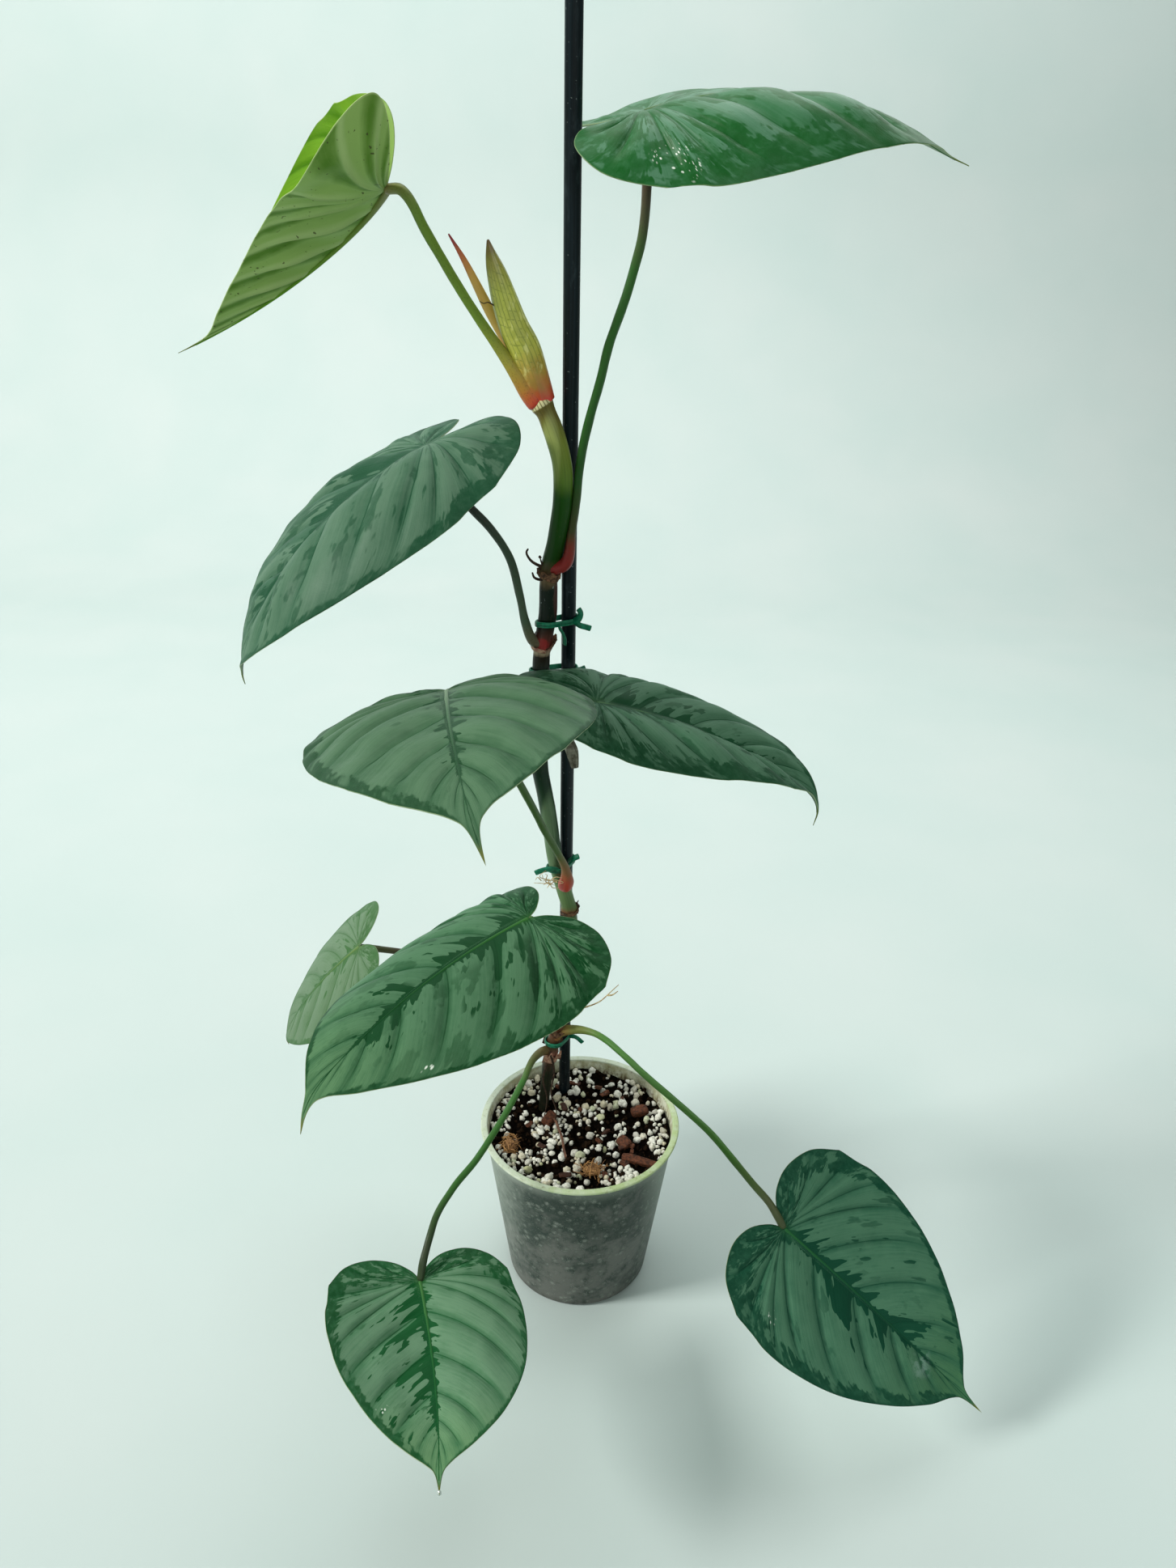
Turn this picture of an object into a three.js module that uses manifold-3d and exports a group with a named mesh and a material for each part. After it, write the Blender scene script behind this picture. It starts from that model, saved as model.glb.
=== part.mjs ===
// A potted climbing philodendron on a stake, with leaves that face the -Y side.
// Millimetres, +Z up. The origin is the middle of the pot's flat base.
import * as THREE from "three";
import { mergeVertices } from "three/addons/utils/BufferGeometryUtils.js";
import Module from "manifold-3d";

const wasm = await Module();
wasm.setup();

// Driving dimensions

const GAP = 0.4; // clearance between pieces that touch on the real plant

const POT = {
  height: 127,
  rimRadius: 70,
  neckRadius: 66.8,
  baseRadius: 51,
  baseRound: 4,
  wall: 1.4,
  floor: 2,
  lip: 2,
  edge: 0.8,
  sides: 36,
};
const DRAIN = { count: 6, ring: 34, radius: 4, sides: 8 };

const MIX = {
  level: 118,
  sides: 32,
  margin: 4, // bare ring of mix beside the wall
  beads: 84,
  beadRadius: [2.2, 4],
  beadTop: 0.55, // a bead's flat top as a share of its radius
  beadRise: 0.6,
  beadSides: 5,
  lumps: 6,
  lumpRadius: [9, 14],
  lumpSunk: 2,
  lumpRise: 1.6,
  chipRise: 0.9,
  chipTilt: 11,
  coirRise: 1,
  rootRadius: 1.4,
  seed: 11,
};
// Bark chips: the middle of each, its turn about Z in degrees, then its length, width and height.
const CHIPS = [
  { at: [43, 18], turn: 20, size: [13, 8, 6] },
  { at: [31, -14], turn: -50, size: [11, 8, 5] },
  { at: [42, -32], turn: -18, size: [28, 6, 5] },
  { at: [-22, 8], turn: 60, size: [12, 8, 7] },
];
// Chunks of coconut fibre.
const COIR = [
  { at: [-48, -18], size: [9, 13, 6] },
  { at: [9, -41], size: [13, 10, 7] },
];
const SURFACE_ROOT = [
  [-22, 14, 120],
  [-17, 2, 121],
  [-12, -12, 120],
  [-9, -30, 119],
];

const STAKE = {
  radius: 4,
  length: 750,
  pointLength: 15,
  pointRadius: 0.8,
  capHeight: 2,
  pointZ: 50, // where its point stands in the mix
  sides: 12,
  entry: [-12.2, 42.9, 115], // where its axis enters the mix
  leanForward: 8.7,
  leanRight: 0.1,
};

const STEM = {
  sides: 8,
  step: 15,
  radiusLow: 4.5,
  radiusHigh: 5,
  nodeRise: 0.9,
  nodeHalfHeight: 3,
  path: [
    [-30, 24, 82],
    [-27, 26, 115],
    [-25, 26, 140],
    [-23, 25, 160],
    [-18, 22, 186],
    [-13, 17.5, 210],
    [-11, 12, 245],
    [-9, 4.5, 294],
    [-14, 1.5, 318],
    [-19, 0.5, 338],
    [-22, 0, 362],
    [-25, -3, 384],
    [-28, -6, 404],
    [-28, -12, 442],
    [-27, -16, 468],
    [-26, -18, 483],
    [-23, -21, 503],
    [-22, -25, 528],
    [-18, -31, 546],
    [-15, -36.5, 567],
    [-15, -39.5, 585],
    [-18, -40, 598],
    [-23, -40, 611],
    [-27, -40, 618],
  ],
  nodeHeights: [168, 187, 200, 215, 299, 440, 484, 528, 615],
};
const AERIAL_ROOTS = [
  [[-21, -25, 529], [-28, -28, 532], [-32, -29, 535], [-34, -29, 539], [-33, -29, 541]],
  [[-21, -25, 525], [-27, -27.5, 524], [-30, -27, 525], [-31, -28, 528]],
];
const AERIAL_ROOT = { radius: 0.9, sides: 5, step: 3 };

// A blade's half outline: across in half widths, then along in blade lengths.
// Negative along values are the two lobes behind the stalk, and each leaf scales them by its own lobe.
const HALF_OUTLINE = [
  [0, 0], [0.07, -0.42], [0.24, -0.86], [0.48, -1.0], [0.74, -0.7], [0.93, 0], [1, 0.17],
  [0.965, 0.34], [0.84, 0.52], [0.6, 0.71], [0.33, 0.86], [0.11, 0.945], [0.035, 0.99], [0, 1.075],
];
const BLADE = {
  thickness: 0.8,
  rows: 20,
  columns: 4,
  tip: 1.075, // blade lengths from the joint to the end of the drip tip
  firstVein: 0.37, // the veins to the edge below this share of the length all leave from the joint
  veinCrowding: 1.3, // above 1, the veins' roots on the midrib crowd towards the joint
  veinSweep: 1.15,
  veinUpturn: 0.45, // how much of a vein's run along the blade comes only close to the edge
  quilt: 0.6, // how far the blade rises and sinks between its side veins
  quiltStart: 0.06, // both as shares of a half wave between midrib and edge
  quiltSpan: 0.8,
  quiltFade: 2.5, // the quilting fades where a half is narrower than its width over this
  keelRoot: 1.7, // depth of the rib under the midrib at the joint and at the tip
  keelTip: 0.2,
  hookFrom: 0.86,
  hookLength: 0.18,
};
const STALK = { sides: 6, step: 14, radius: 2.2, swellLength: 38, endSunk: 0.8 };

// Each leaf: where blade and stalk meet, which way the blade points (heading from +X towards +Y,
// pitch above level, roll to the right), its length, half width and lobes as shares of the length,
// then how each half folds down and curls, how the midrib bends ahead and behind, how the drip tip
// hooks and how the blade sweeps to the right, all in degrees. stalk is the route of the leaf stalk.
const LEAVES = {
  leaf_1: {
    joint: [-93.2, -59.4, 707.8], heading: 112.5, pitch: -18.3, roll: 30,
    length: 135.4, halfWidth: 0.32, lobe: 0.27,
    foldLeft: 48.5, foldRight: -122, curlLeft: -37.5, curlRight: -55,
    bend: 70, bendBack: -235, hook: 9.5, sweep: -41.8,
    baseRadius: 3,
    stalk: [
      [-31.5, -41, 621], [-37, -43, 629.5], [-44, -45, 639], [-52, -48, 650.5], [-60, -51.5, 662.5],
      [-69, -57, 678], [-77, -62.5, 692.5], [-81, -64.5, 701], [-84, -64, 705.1], [-87, -63, 707.2],
    ],
  },
  leaf_2: {
    joint: [19.5, -48, 739.7], heading: 0.7, pitch: 17, roll: 12,
    length: 155, halfWidth: 0.4, lobe: 0.21,
    foldLeft: 7.5, foldRight: -10, curlLeft: -8, curlRight: 75.5,
    bend: 49, bendBack: -41, hook: -15, sweep: -17,
    baseRadius: 4.2,
    stalk: [
      [-20, -27, 530], [-13, -31, 534], [-10, -34.5, 552], [-8, -37, 567], [-6, -40, 588], [-3, -42, 604],
      [3, -44, 627], [7, -46, 644], [13, -47, 661], [18, -47, 678], [21, -48, 691], [22, -50, 710],
      [21, -50, 728],
    ],
  },
  leaf_3: {
    joint: [-82.7, -41, 594.3], heading: -145, pitch: -19.5, roll: -17,
    length: 163, halfWidth: 0.43, lobe: 0.21,
    foldLeft: -41, foldRight: 19, curlLeft: 75, curlRight: 19,
    bend: 70, bendBack: 15, hook: 15, sweep: 15,
    baseRadius: 3.4,
    stalk: [
      [-25, -18, 483], [-31, -22, 488], [-35, -24.5, 499], [-38, -26, 515], [-43, -27, 535], [-52, -28, 550],
      [-62, -29, 561], [-71, -31, 572], [-78, -35, 583],
    ],
  },
  leaf_4: {
    joint: [-67.2, -117, 493.5], heading: -83, pitch: 14, roll: 20,
    length: 173.7, halfWidth: 0.39, lobe: 0.17,
    foldLeft: 3, foldRight: -13, curlLeft: 39, curlRight: 23,
    bend: 18, bendBack: 18, hook: 36.5, sweep: 0.5,
    baseRadius: 4.2,
    stalk: [
      [-14, 0, 318], [-12, -7, 323], [-11, -12, 330], [-12, -16, 340], [-16, -22, 353], [-23, -33, 373],
      [-30, -46, 396], [-37, -59, 418], [-47, -76, 445], [-56, -95, 469], [-64.5, -110, 485],
    ],
  },
  leaf_5: {
    joint: [4.5, -63.8, 468.1], heading: 0, pitch: -8.9, roll: -21.5,
    length: 141.4, halfWidth: 0.38, lobe: 0.27,
    foldLeft: -53, foldRight: -1, curlLeft: 71, curlRight: 65,
    bend: 28, bendBack: 85, hook: 64.7, sweep: -19,
    baseRadius: 3.6,
    stalk: [[-27, -13, 441], [-23, -22, 444], [-16, -35, 451], [-7, -49, 459], [0.5, -59, 464]],
  },
  leaf_6: {
    joint: [-31.9, -58.9, 330.7], heading: -139, pitch: -4, roll: 18,
    length: 167.7, halfWidth: 0.44, lobe: 0.14,
    foldLeft: 19, foldRight: -29, curlLeft: 21, curlRight: 75.6,
    bend: 17, bendBack: 14, hook: 37, sweep: -15.4,
    baseRadius: 3.4,
    stalk: [
      [-13, 16, 214], [-12, 8, 226], [-13, -1, 241], [-16, -13, 262], [-20, -29, 287], [-25, -44, 311],
      [-29, -54, 325],
    ],
  },
  leaf_7: {
    joint: [-151, 18, 257], heading: 174, pitch: -44, roll: -20,
    length: 117, halfWidth: 0.4, lobe: 0.16,
    foldLeft: 0, foldRight: -5, curlLeft: 20, curlRight: 25,
    bend: 25, bendBack: 15, hook: 25, sweep: 6,
    baseRadius: 3.2,
    stalk: [
      [-15, 20, 199], [-24, 24, 207], [-39, 29, 219], [-68, 33, 231], [-100, 34, 238], [-125, 32, 244],
      [-142, 25, 251],
    ],
  },
  leaf_8: {
    joint: [-94.5, -135.4, 121.3], heading: -71.8, pitch: -13.6, roll: 6,
    length: 127, halfWidth: 0.48, lobe: 0.12,
    foldLeft: 1.6, foldRight: -18, curlLeft: 35, curlRight: -16,
    bend: -33, bendBack: 9.3, hook: 21.3, sweep: 8,
    baseRadius: 3.6,
    stalk: [
      [-22, 24, 168], [-28, 18, 172], [-34, 8, 172], [-39, -10, 170], [-45, -28, 168], [-54, -50, 164],
      [-66, -74, 158], [-78, -92, 153], [-87, -107, 145], [-90, -118, 139], [-93, -128, 130],
    ],
  },
  leaf_9: {
    joint: [124.8, -117.8, 151.3], heading: -12.5, pitch: -40.5, roll: 54.6,
    length: 165.8, halfWidth: 0.38, lobe: 0.14,
    foldLeft: -7, foldRight: -20, curlLeft: 27, curlRight: 0.5,
    bend: 1.7, bendBack: 12, hook: -19.5, sweep: 3,
    baseRadius: 4.2,
    stalk: [
      [-16, 21, 187], [-4, 19, 191], [8, 13, 193], [17, 4, 194], [27, -8, 193], [44, -30, 191],
      [64, -54, 189], [83, -76, 185], [96, -93, 179], [107, -105, 172], [116, -112, 165], [121, -116, 158],
    ],
  },
};

const SHEATH = {
  sides: 10,
  flatness: 0.75, // depth as a share of width
  path: [
    [-26, -40, 619], [-29.5, -42, 630], [-33.5, -43.5, 641], [-38, -45, 650], [-42, -46.5, 661],
    [-45, -48, 671], [-48, -49.5, 681], [-49.5, -50.5, 688],
  ],
  // share of the way up, then half width
  halfWidths: [[0, 6.3], [0.12, 7], [0.3, 7.6], [0.5, 7], [0.7, 5.8], [0.85, 4], [1, 0.5]],
};
const BRACT = {
  sides: 8,
  flatness: 0.5,
  path: [
    [-29, -35, 619], [-37, -34, 632], [-44, -34, 646], [-51, -36, 658], [-56, -38.5, 668],
    [-62, -42.5, 680], [-68, -46, 690],
  ],
  halfWidths: [[0, 2.4], [0.3, 3], [0.6, 2.4], [0.8, 1.6], [1, 0.4]],
};
// A dried sheath that hangs from the node of leaf 5, in front of the stake.
const DRY_BRACT = {
  sides: 6,
  flatness: 0.22,
  path: [
    [-7, -14, 407], [-8, -16, 415], [-10, -18.5, 423], [-14, -20, 431], [-21, -17, 434], [-27, -10, 430],
  ],
  halfWidths: [[0, 2], [0.2, 3.4], [0.6, 3.4], [1, 2.8]],
};

const TIE = {
  thickness: 1.1,
  height: 2.6,
  corners: 16,
  slack: 0.3, // room for the lean of stake and stem inside the band's height
  tailRadius: 1.2,
  tailSides: 5,
};
// Each tie: the height of its band, how far it slants up to the right in degrees, then the routes of
// its free ends from the band's edge, as offsets from the stake's axis at that height.
const TIES = {
  tie_1: {
    z: 499, slant: 5,
    tails: [
      [[3, -4.6, 0.1], [5.8, -7.1, 2.2], [6.7, -7.1, 5.4], [5.3, -6.1, 7.8]],
      [[3, -4.6, 0], [6.4, -7.6, -1.3], [9.5, -8.1, -2], [12.6, -8.1, -2.9]],
      [[-5.2, -7.7, -0.6], [-4.5, -9.2, -3], [-2.9, -8.9, -5.8], [-2, -8.2, -9], [-2, -7.8, -12.7]],
    ],
  },
  tie_2: { z: 468, slant: 0, tails: [[[3, -4, 0], [7, -4.5, 1], [10, -3.5, 2]]] },
  tie_3: {
    z: 332, slant: 5,
    tails: [
      [[1.4, -4.8, 0.6], [4.5, -8.7, 5.6], [8.1, -9.7, 8]],
      [[-4.9, -14.8, 0.4], [-8.9, -16.2, 2], [-13.2, -16.7, 1.6], [-16.5, -16.7, 0.4], [-19.3, -16.7, -1]],
    ],
  },
  tie_4: { z: 177.5, slant: 0, tails: [[[3, -4.2, 0], [8, -7, 1], [13, -8, -3]]] },
};

// Colours, roughness
const LOOKS = {
  pot: [0x9fb0a6, 0.55],
  mix: [0x2a211b, 0.95],
  stake: [0x10211c, 0.45],
  stem: [0x3a6b2a, 0.5],
  leaf: [0x47755a, 0.5],
  newLeaf: [0x7fae3c, 0.45],
  sheath: [0xb5b54a, 0.45],
  bract: [0xc8703a, 0.5],
  dryBract: [0x9a8c84, 0.7],
  tie: [0x14604a, 0.4],
};

const vec = (p) => new THREE.Vector3(p[0], p[1], p[2]);
const rad = THREE.MathUtils.degToRad;

// Solids

function solidOf(geometry) {
  const bare = new THREE.BufferGeometry().setAttribute("position", geometry.getAttribute("position"));
  if (geometry.index) bare.setIndex(geometry.index);
  const merged = mergeVertices(bare, 1e-4);
  const corners = merged.index.array;
  const kept = [];
  for (let i = 0; i < corners.length; i += 3) {
    const [a, b, c] = [corners[i], corners[i + 1], corners[i + 2]];
    if (a !== b && b !== c && c !== a) kept.push(a, b, c);
  }
  return new wasm.Manifold(
    new wasm.Mesh({
      numProp: 3,
      vertProperties: new Float32Array(merged.getAttribute("position").array),
      triVerts: new Uint32Array(kept),
    }),
  );
}

function geometryOf(solid) {
  const mesh = solid.getMesh();
  return new THREE.BufferGeometry()
    .setAttribute("position", new THREE.BufferAttribute(mesh.vertProperties, 3))
    .setIndex(new THREE.BufferAttribute(mesh.triVerts, 1));
}

// The largest body of a solid, without the scraps that a cut can leave.
function mainBody(solid) {
  return solid.decompose().reduce((best, body) => (body.volume() > best.volume() ? body : best));
}

// Reads a list of [share, value] steps at one share.
function stepped(list, share) {
  const next = Math.max(1, list.findIndex(([at]) => at >= share));
  const [fromShare, from] = list[next - 1];
  const [toShare, to] = list[next];
  return from + ((to - from) * (share - fromShare)) / (toShare - fromShare);
}

// A closed tube through the centres, with a half width at each one and a depth of flatness times it.
function tube(centres, halfWidths, sides, flatness = 1, across = new THREE.Vector3(1, 0, 0)) {
  const positions = [];
  const index = [];
  let side = across.clone();
  centres.forEach((centre, k) => {
    const before = centres[Math.max(0, k - 1)];
    const after = centres[Math.min(centres.length - 1, k + 1)];
    const ahead = after.clone().sub(before).normalize();
    side = side.addScaledVector(ahead, -side.dot(ahead)).normalize();
    const depth = ahead.clone().cross(side);
    for (let i = 0; i < sides; i += 1) {
      const turn = (2 * Math.PI * i) / sides;
      const point = centre
        .clone()
        .addScaledVector(side, halfWidths[k] * Math.cos(turn))
        .addScaledVector(depth, halfWidths[k] * flatness * Math.sin(turn));
      positions.push(point.x, point.y, point.z);
    }
  });
  const last = centres.length - 1;
  for (let k = 0; k < last; k += 1) {
    for (let i = 0; i < sides; i += 1) {
      const [a, b] = [k * sides + i, k * sides + ((i + 1) % sides)];
      index.push(a, b, b + sides, a, b + sides, a + sides);
    }
  }
  for (let i = 1; i < sides - 1; i += 1) {
    index.push(0, i + 1, i);
    index.push(last * sides, last * sides + i, last * sides + i + 1);
  }
  return new THREE.BufferGeometry()
    .setAttribute("position", new THREE.BufferAttribute(new Float32Array(positions), 3))
    .setIndex(index);
}

// Centres along a smooth curve through the route, about one step apart.
function centresAlong(route, step) {
  const curve = new THREE.CatmullRomCurve3(route.map(vec), false, "centripetal");
  return curve.getSpacedPoints(Math.ceil(curve.getLength() / step));
}

function seededRandom(seed) {
  let state = seed;
  return () => {
    state = (state * 1664525 + 1013904223) % 4294967296;
    return state / 4294967296;
  };
}

// Pot

const wallInnerRadius = (z) => {
  const share = (z - POT.floor) / (POT.height - POT.floor);
  return POT.baseRadius - POT.wall + share * (POT.neckRadius - POT.baseRadius);
};

function lathe(profile, sides) {
  const geometry = new THREE.LatheGeometry(profile.map(([r, z]) => new THREE.Vector2(r, z)), sides);
  return geometry.rotateX(Math.PI / 2);
}

function potSolid() {
  const top = POT.height;
  const profile = [[0, 0], [POT.baseRadius - POT.baseRound, 0]];
  for (let k = 1; k <= 3; k += 1) {
    const turn = (k / 3) * (Math.PI / 2);
    const out = POT.baseRadius - POT.baseRound * (1 - Math.sin(turn));
    profile.push([out, POT.baseRound * (1 - Math.cos(turn))]);
  }
  profile.push(
    [POT.neckRadius, top - POT.lip],
    [POT.rimRadius - POT.edge, top - POT.lip],
    [POT.rimRadius, top - POT.lip + POT.edge],
    [POT.rimRadius, top - POT.edge],
    [POT.rimRadius - POT.edge, top],
    [POT.neckRadius - POT.wall + POT.edge, top],
    [POT.neckRadius - POT.wall, top - POT.edge],
    [wallInnerRadius(POT.floor), POT.floor],
    [0, POT.floor],
  );
  let pot = solidOf(lathe(profile, POT.sides));
  for (let k = 0; k < DRAIN.count; k += 1) {
    const turn = (2 * Math.PI * k) / DRAIN.count;
    const hole = new THREE.CylinderGeometry(DRAIN.radius, DRAIN.radius, 4 * POT.floor, DRAIN.sides);
    hole.rotateX(Math.PI / 2).translate(DRAIN.ring * Math.cos(turn), DRAIN.ring * Math.sin(turn), 0);
    pot = pot.subtract(solidOf(hole));
  }
  return pot;
}

// Stake

const stakeAhead = vec([Math.tan(rad(STAKE.leanRight)), -Math.tan(rad(STAKE.leanForward)), 1]).normalize();

function stakeAxisAt(z) {
  return vec(STAKE.entry).addScaledVector(stakeAhead, (z - STAKE.entry[2]) / stakeAhead.z);
}

function stakeSolid(grow = 0) {
  const { radius, length, pointLength, pointRadius, capHeight } = STAKE;
  const profile = [
    [0, -grow],
    [pointRadius + grow, 0],
    [radius + grow, pointLength],
    [radius + grow, length - capHeight],
    [radius * Math.cos(Math.PI / 4) + grow, length - capHeight * (1 - Math.sin(Math.PI / 4))],
    [0, length + grow],
  ];
  const geometry = lathe(profile, STAKE.sides);
  const lean = new THREE.Quaternion().setFromUnitVectors(vec([0, 0, 1]), stakeAhead);
  geometry.applyQuaternion(lean);
  const foot = stakeAxisAt(STAKE.pointZ);
  return solidOf(geometry.translate(foot.x, foot.y, foot.z));
}

// Stem, with a raised ring at each node and the short roots that grow from one of them

function stemSolid(grow = 0) {
  const curve = new THREE.CatmullRomCurve3(STEM.path.map(vec), false, "centripetal");
  const length = curve.getLength();
  const plain = Math.ceil(length / STEM.step);
  const fine = curve.getSpacedPoints(4 * plain);
  const shareAtHeight = (z) => fine.findIndex((p) => p.z >= z) / (4 * plain);
  const nodes = STEM.nodeHeights.map(shareAtHeight);
  const half = STEM.nodeHalfHeight / length;
  const shares = nodes.flatMap((at) => [at - half, at, at + half]);
  for (let k = 0; k <= plain; k += 1) {
    const share = k / plain;
    if (nodes.every((at) => Math.abs(at - share) > 2 * half)) shares.push(share);
  }
  shares.sort((a, b) => a - b);
  const centres = shares.map((share) => curve.getPointAt(Math.min(1, share)));
  const halfWidths = shares.map((share) => {
    const taper = STEM.radiusLow + (STEM.radiusHigh - STEM.radiusLow) * Math.min(1, 1.3 * share);
    return taper + (nodes.includes(share) ? STEM.nodeRise : 0) + grow;
  });
  return solidOf(tube(centres, halfWidths, STEM.sides));
}

function stemWithRoots() {
  const roots = AERIAL_ROOTS.map((route) => {
    const centres = centresAlong(route, AERIAL_ROOT.step);
    const widths = centres.map((_, k) => AERIAL_ROOT.radius * (1 - (0.5 * k) / centres.length));
    return solidOf(tube(centres, widths, AERIAL_ROOT.sides));
  });
  return wasm.Manifold.union([stemSolid(), ...roots]);
}

// Potting mix: a plug that fills the pot, its top rough with dark lumps, perlite beads, bark and coir

// A bead's upper half, sunk in the mix.
function bead(at, radius, turn) {
  const height = 2 * radius;
  const shape = new THREE.CylinderGeometry(MIX.beadTop * radius, radius, height, MIX.beadSides);
  return solidOf(shape.rotateX(Math.PI / 2).rotateZ(turn).translate(at[0], at[1], at[2]));
}

function blob(at, size, turn = 0) {
  const shape = new THREE.IcosahedronGeometry(1, 0).scale(size[0] / 2, size[1] / 2, size[2] / 2);
  return solidOf(shape.rotateZ(turn).translate(at[0], at[1], at[2]));
}

function mixSolid() {
  const random = seededRandom(MIX.seed);
  const between = (low, high) => low + (high - low) * random();
  const plug = (top) => [
    [0, POT.floor + GAP],
    [wallInnerRadius(POT.floor) - GAP, POT.floor + GAP],
    [wallInnerRadius(top) - GAP, top],
    [0, top],
  ];
  const reach = wallInnerRadius(MIX.level) - MIX.margin;
  const place = () => {
    const r = reach * Math.sqrt(random());
    const turn = 2 * Math.PI * random();
    return [r * Math.cos(turn), r * Math.sin(turn)];
  };
  const pieces = [solidOf(lathe(plug(MIX.level), MIX.sides))];
  for (let k = 0; k < MIX.lumps; k += 1) {
    const width = 2 * between(...MIX.lumpRadius);
    const height = 2 * (MIX.lumpSunk + MIX.lumpRise);
    const [x, y] = place();
    pieces.push(blob([x, y, MIX.level - MIX.lumpSunk], [width, width, height], Math.PI * random()));
  }
  for (let k = 0; k < MIX.beads; k += 1) {
    const radius = between(...MIX.beadRadius);
    const [x, y] = place();
    const z = MIX.level + between(-MIX.beadRise, MIX.beadRise);
    pieces.push(bead([x, y, z], radius, Math.PI * random()));
  }
  for (const { at, turn, size } of CHIPS) {
    const chip = new THREE.BoxGeometry(...size).rotateX(rad(MIX.chipTilt)).rotateZ(rad(turn));
    pieces.push(solidOf(chip.translate(at[0], at[1], MIX.level + MIX.chipRise)));
  }
  for (const { at, size } of COIR) pieces.push(blob([...at, MIX.level + MIX.coirRise], size));
  const rootCentres = centresAlong(SURFACE_ROOT, 6);
  pieces.push(solidOf(tube(rootCentres, rootCentres.map(() => MIX.rootRadius), AERIAL_ROOT.sides)));
  const room = solidOf(lathe(plug(POT.height), MIX.sides));
  return mainBody(
    wasm.Manifold.union(pieces).intersect(room).subtract(stemSolid(GAP)).subtract(stakeSolid(GAP)),
  );
}

// Leaves

const outline = new THREE.SplineCurve(HALF_OUTLINE.map((point) => new THREE.Vector2(...point)));

// The midrib as seen from the side, in blade lengths: how far along, how far up, and its slope.
function midribProfile(leaf) {
  const [first, last, count] = [-0.6, 1.2, 360];
  const step = (last - first) / count;
  const slopeAt = (s) => {
    const hooked = THREE.MathUtils.clamp((s - BLADE.hookFrom) / BLADE.hookLength, 0, 1) ** 2;
    return -rad(s > 0 ? leaf.bend : leaf.bendBack) * s - rad(leaf.hook) * hooked;
  };
  const walk = (s) => {
    let [along, up] = [0, 0];
    const steps = Math.max(1, Math.round(Math.abs(s) / step));
    for (let k = 0; k < steps; k += 1) {
      const slope = slopeAt((s * (k + 0.5)) / steps);
      along += (s / steps) * Math.cos(slope);
      up += (s / steps) * Math.sin(slope);
    }
    return { along, up, slope: slopeAt(s) };
  };
  return walk;
}

// The blade's own axes: ahead along the midrib, right across it, and up from its upper face.
function bladeAxes(leaf) {
  const [heading, pitch, roll] = [rad(leaf.heading), rad(leaf.pitch), rad(leaf.roll)];
  const ahead = new THREE.Vector3().setFromSphericalCoords(1, Math.PI / 2 - pitch, heading);
  ahead.set(ahead.z, ahead.x, ahead.y); // from Y up to Z up
  const level = ahead.clone().cross(vec([0, 0, 1])).normalize();
  const raised = level.clone().cross(ahead);
  const right = level.multiplyScalar(Math.cos(roll)).addScaledVector(raised, -Math.sin(roll));
  return { ahead, right, up: right.clone().cross(ahead) };
}

// One point of the blade's middle surface and its normal. side is -1 for the left half and 1 for the
// right, row counts along the outline from the joint to the tip, and v runs from the midrib to the edge.
function bladePoint(leaf, axes, midrib, side, row, v) {
  const edge = outline.getPoint(row / BLADE.rows);
  const across = edge.x * leaf.halfWidth;
  const along = edge.y < 0 ? edge.y * leaf.lobe : edge.y;
  const pastFirst = THREE.MathUtils.clamp((along - BLADE.firstVein) / (BLADE.tip - BLADE.firstVein), 0, 1);
  const start = pastFirst ** BLADE.veinCrowding;
  const upturn = 1 - Math.sqrt(1 - v * v);
  const d = across * v;
  const a = start + (along - start) * THREE.MathUtils.lerp(v ** BLADE.veinSweep, upturn, BLADE.veinUpturn);
  const fold = rad(side < 0 ? leaf.foldLeft : leaf.foldRight);
  const curl = rad(side < 0 ? leaf.curlLeft : leaf.curlRight) / leaf.halfWidth;
  const slope = fold + curl * d;
  const x = curl ? (Math.sin(slope) - Math.sin(fold)) / curl : Math.cos(fold) * d;
  const z = curl ? (Math.cos(slope) - Math.cos(fold)) / curl : -Math.sin(fold) * d;
  const rib = midrib(a);
  const ribUp = axes.ahead
    .clone()
    .multiplyScalar(-Math.sin(rib.slope))
    .addScaledVector(axes.up, Math.cos(rib.slope));
  const open = v > 0 ? 1 : 0;
  const faceAt = (half, angle) =>
    axes.right.clone().multiplyScalar(half * Math.sin(angle)).addScaledVector(ribUp, Math.cos(angle));
  const normal = open
    ? faceAt(side, slope)
    : faceAt(-1, rad(leaf.foldLeft)).add(faceAt(1, rad(leaf.foldRight))).normalize();
  const wave = Math.sin(Math.PI * (BLADE.quiltStart + BLADE.quiltSpan * v));
  const quilt = BLADE.quilt * (row % 2 ? 1 : -1) * wave * Math.min(1, BLADE.quiltFade * edge.x);
  const sway = (rad(leaf.sweep) * a * a) / 2;
  const point = vec(leaf.joint)
    .addScaledVector(axes.ahead, leaf.length * rib.along)
    .addScaledVector(axes.up, leaf.length * rib.up)
    .addScaledVector(axes.right, leaf.length * (side * x + sway))
    .addScaledVector(ribUp, leaf.length * z)
    .addScaledVector(normal, open * quilt);
  const toTip = Math.sqrt(1 - THREE.MathUtils.clamp(a, 0, 1));
  const keel = open ? 0 : BLADE.keelTip + (BLADE.keelRoot - BLADE.keelTip) * toTip;
  return { point, normal, keel };
}

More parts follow.
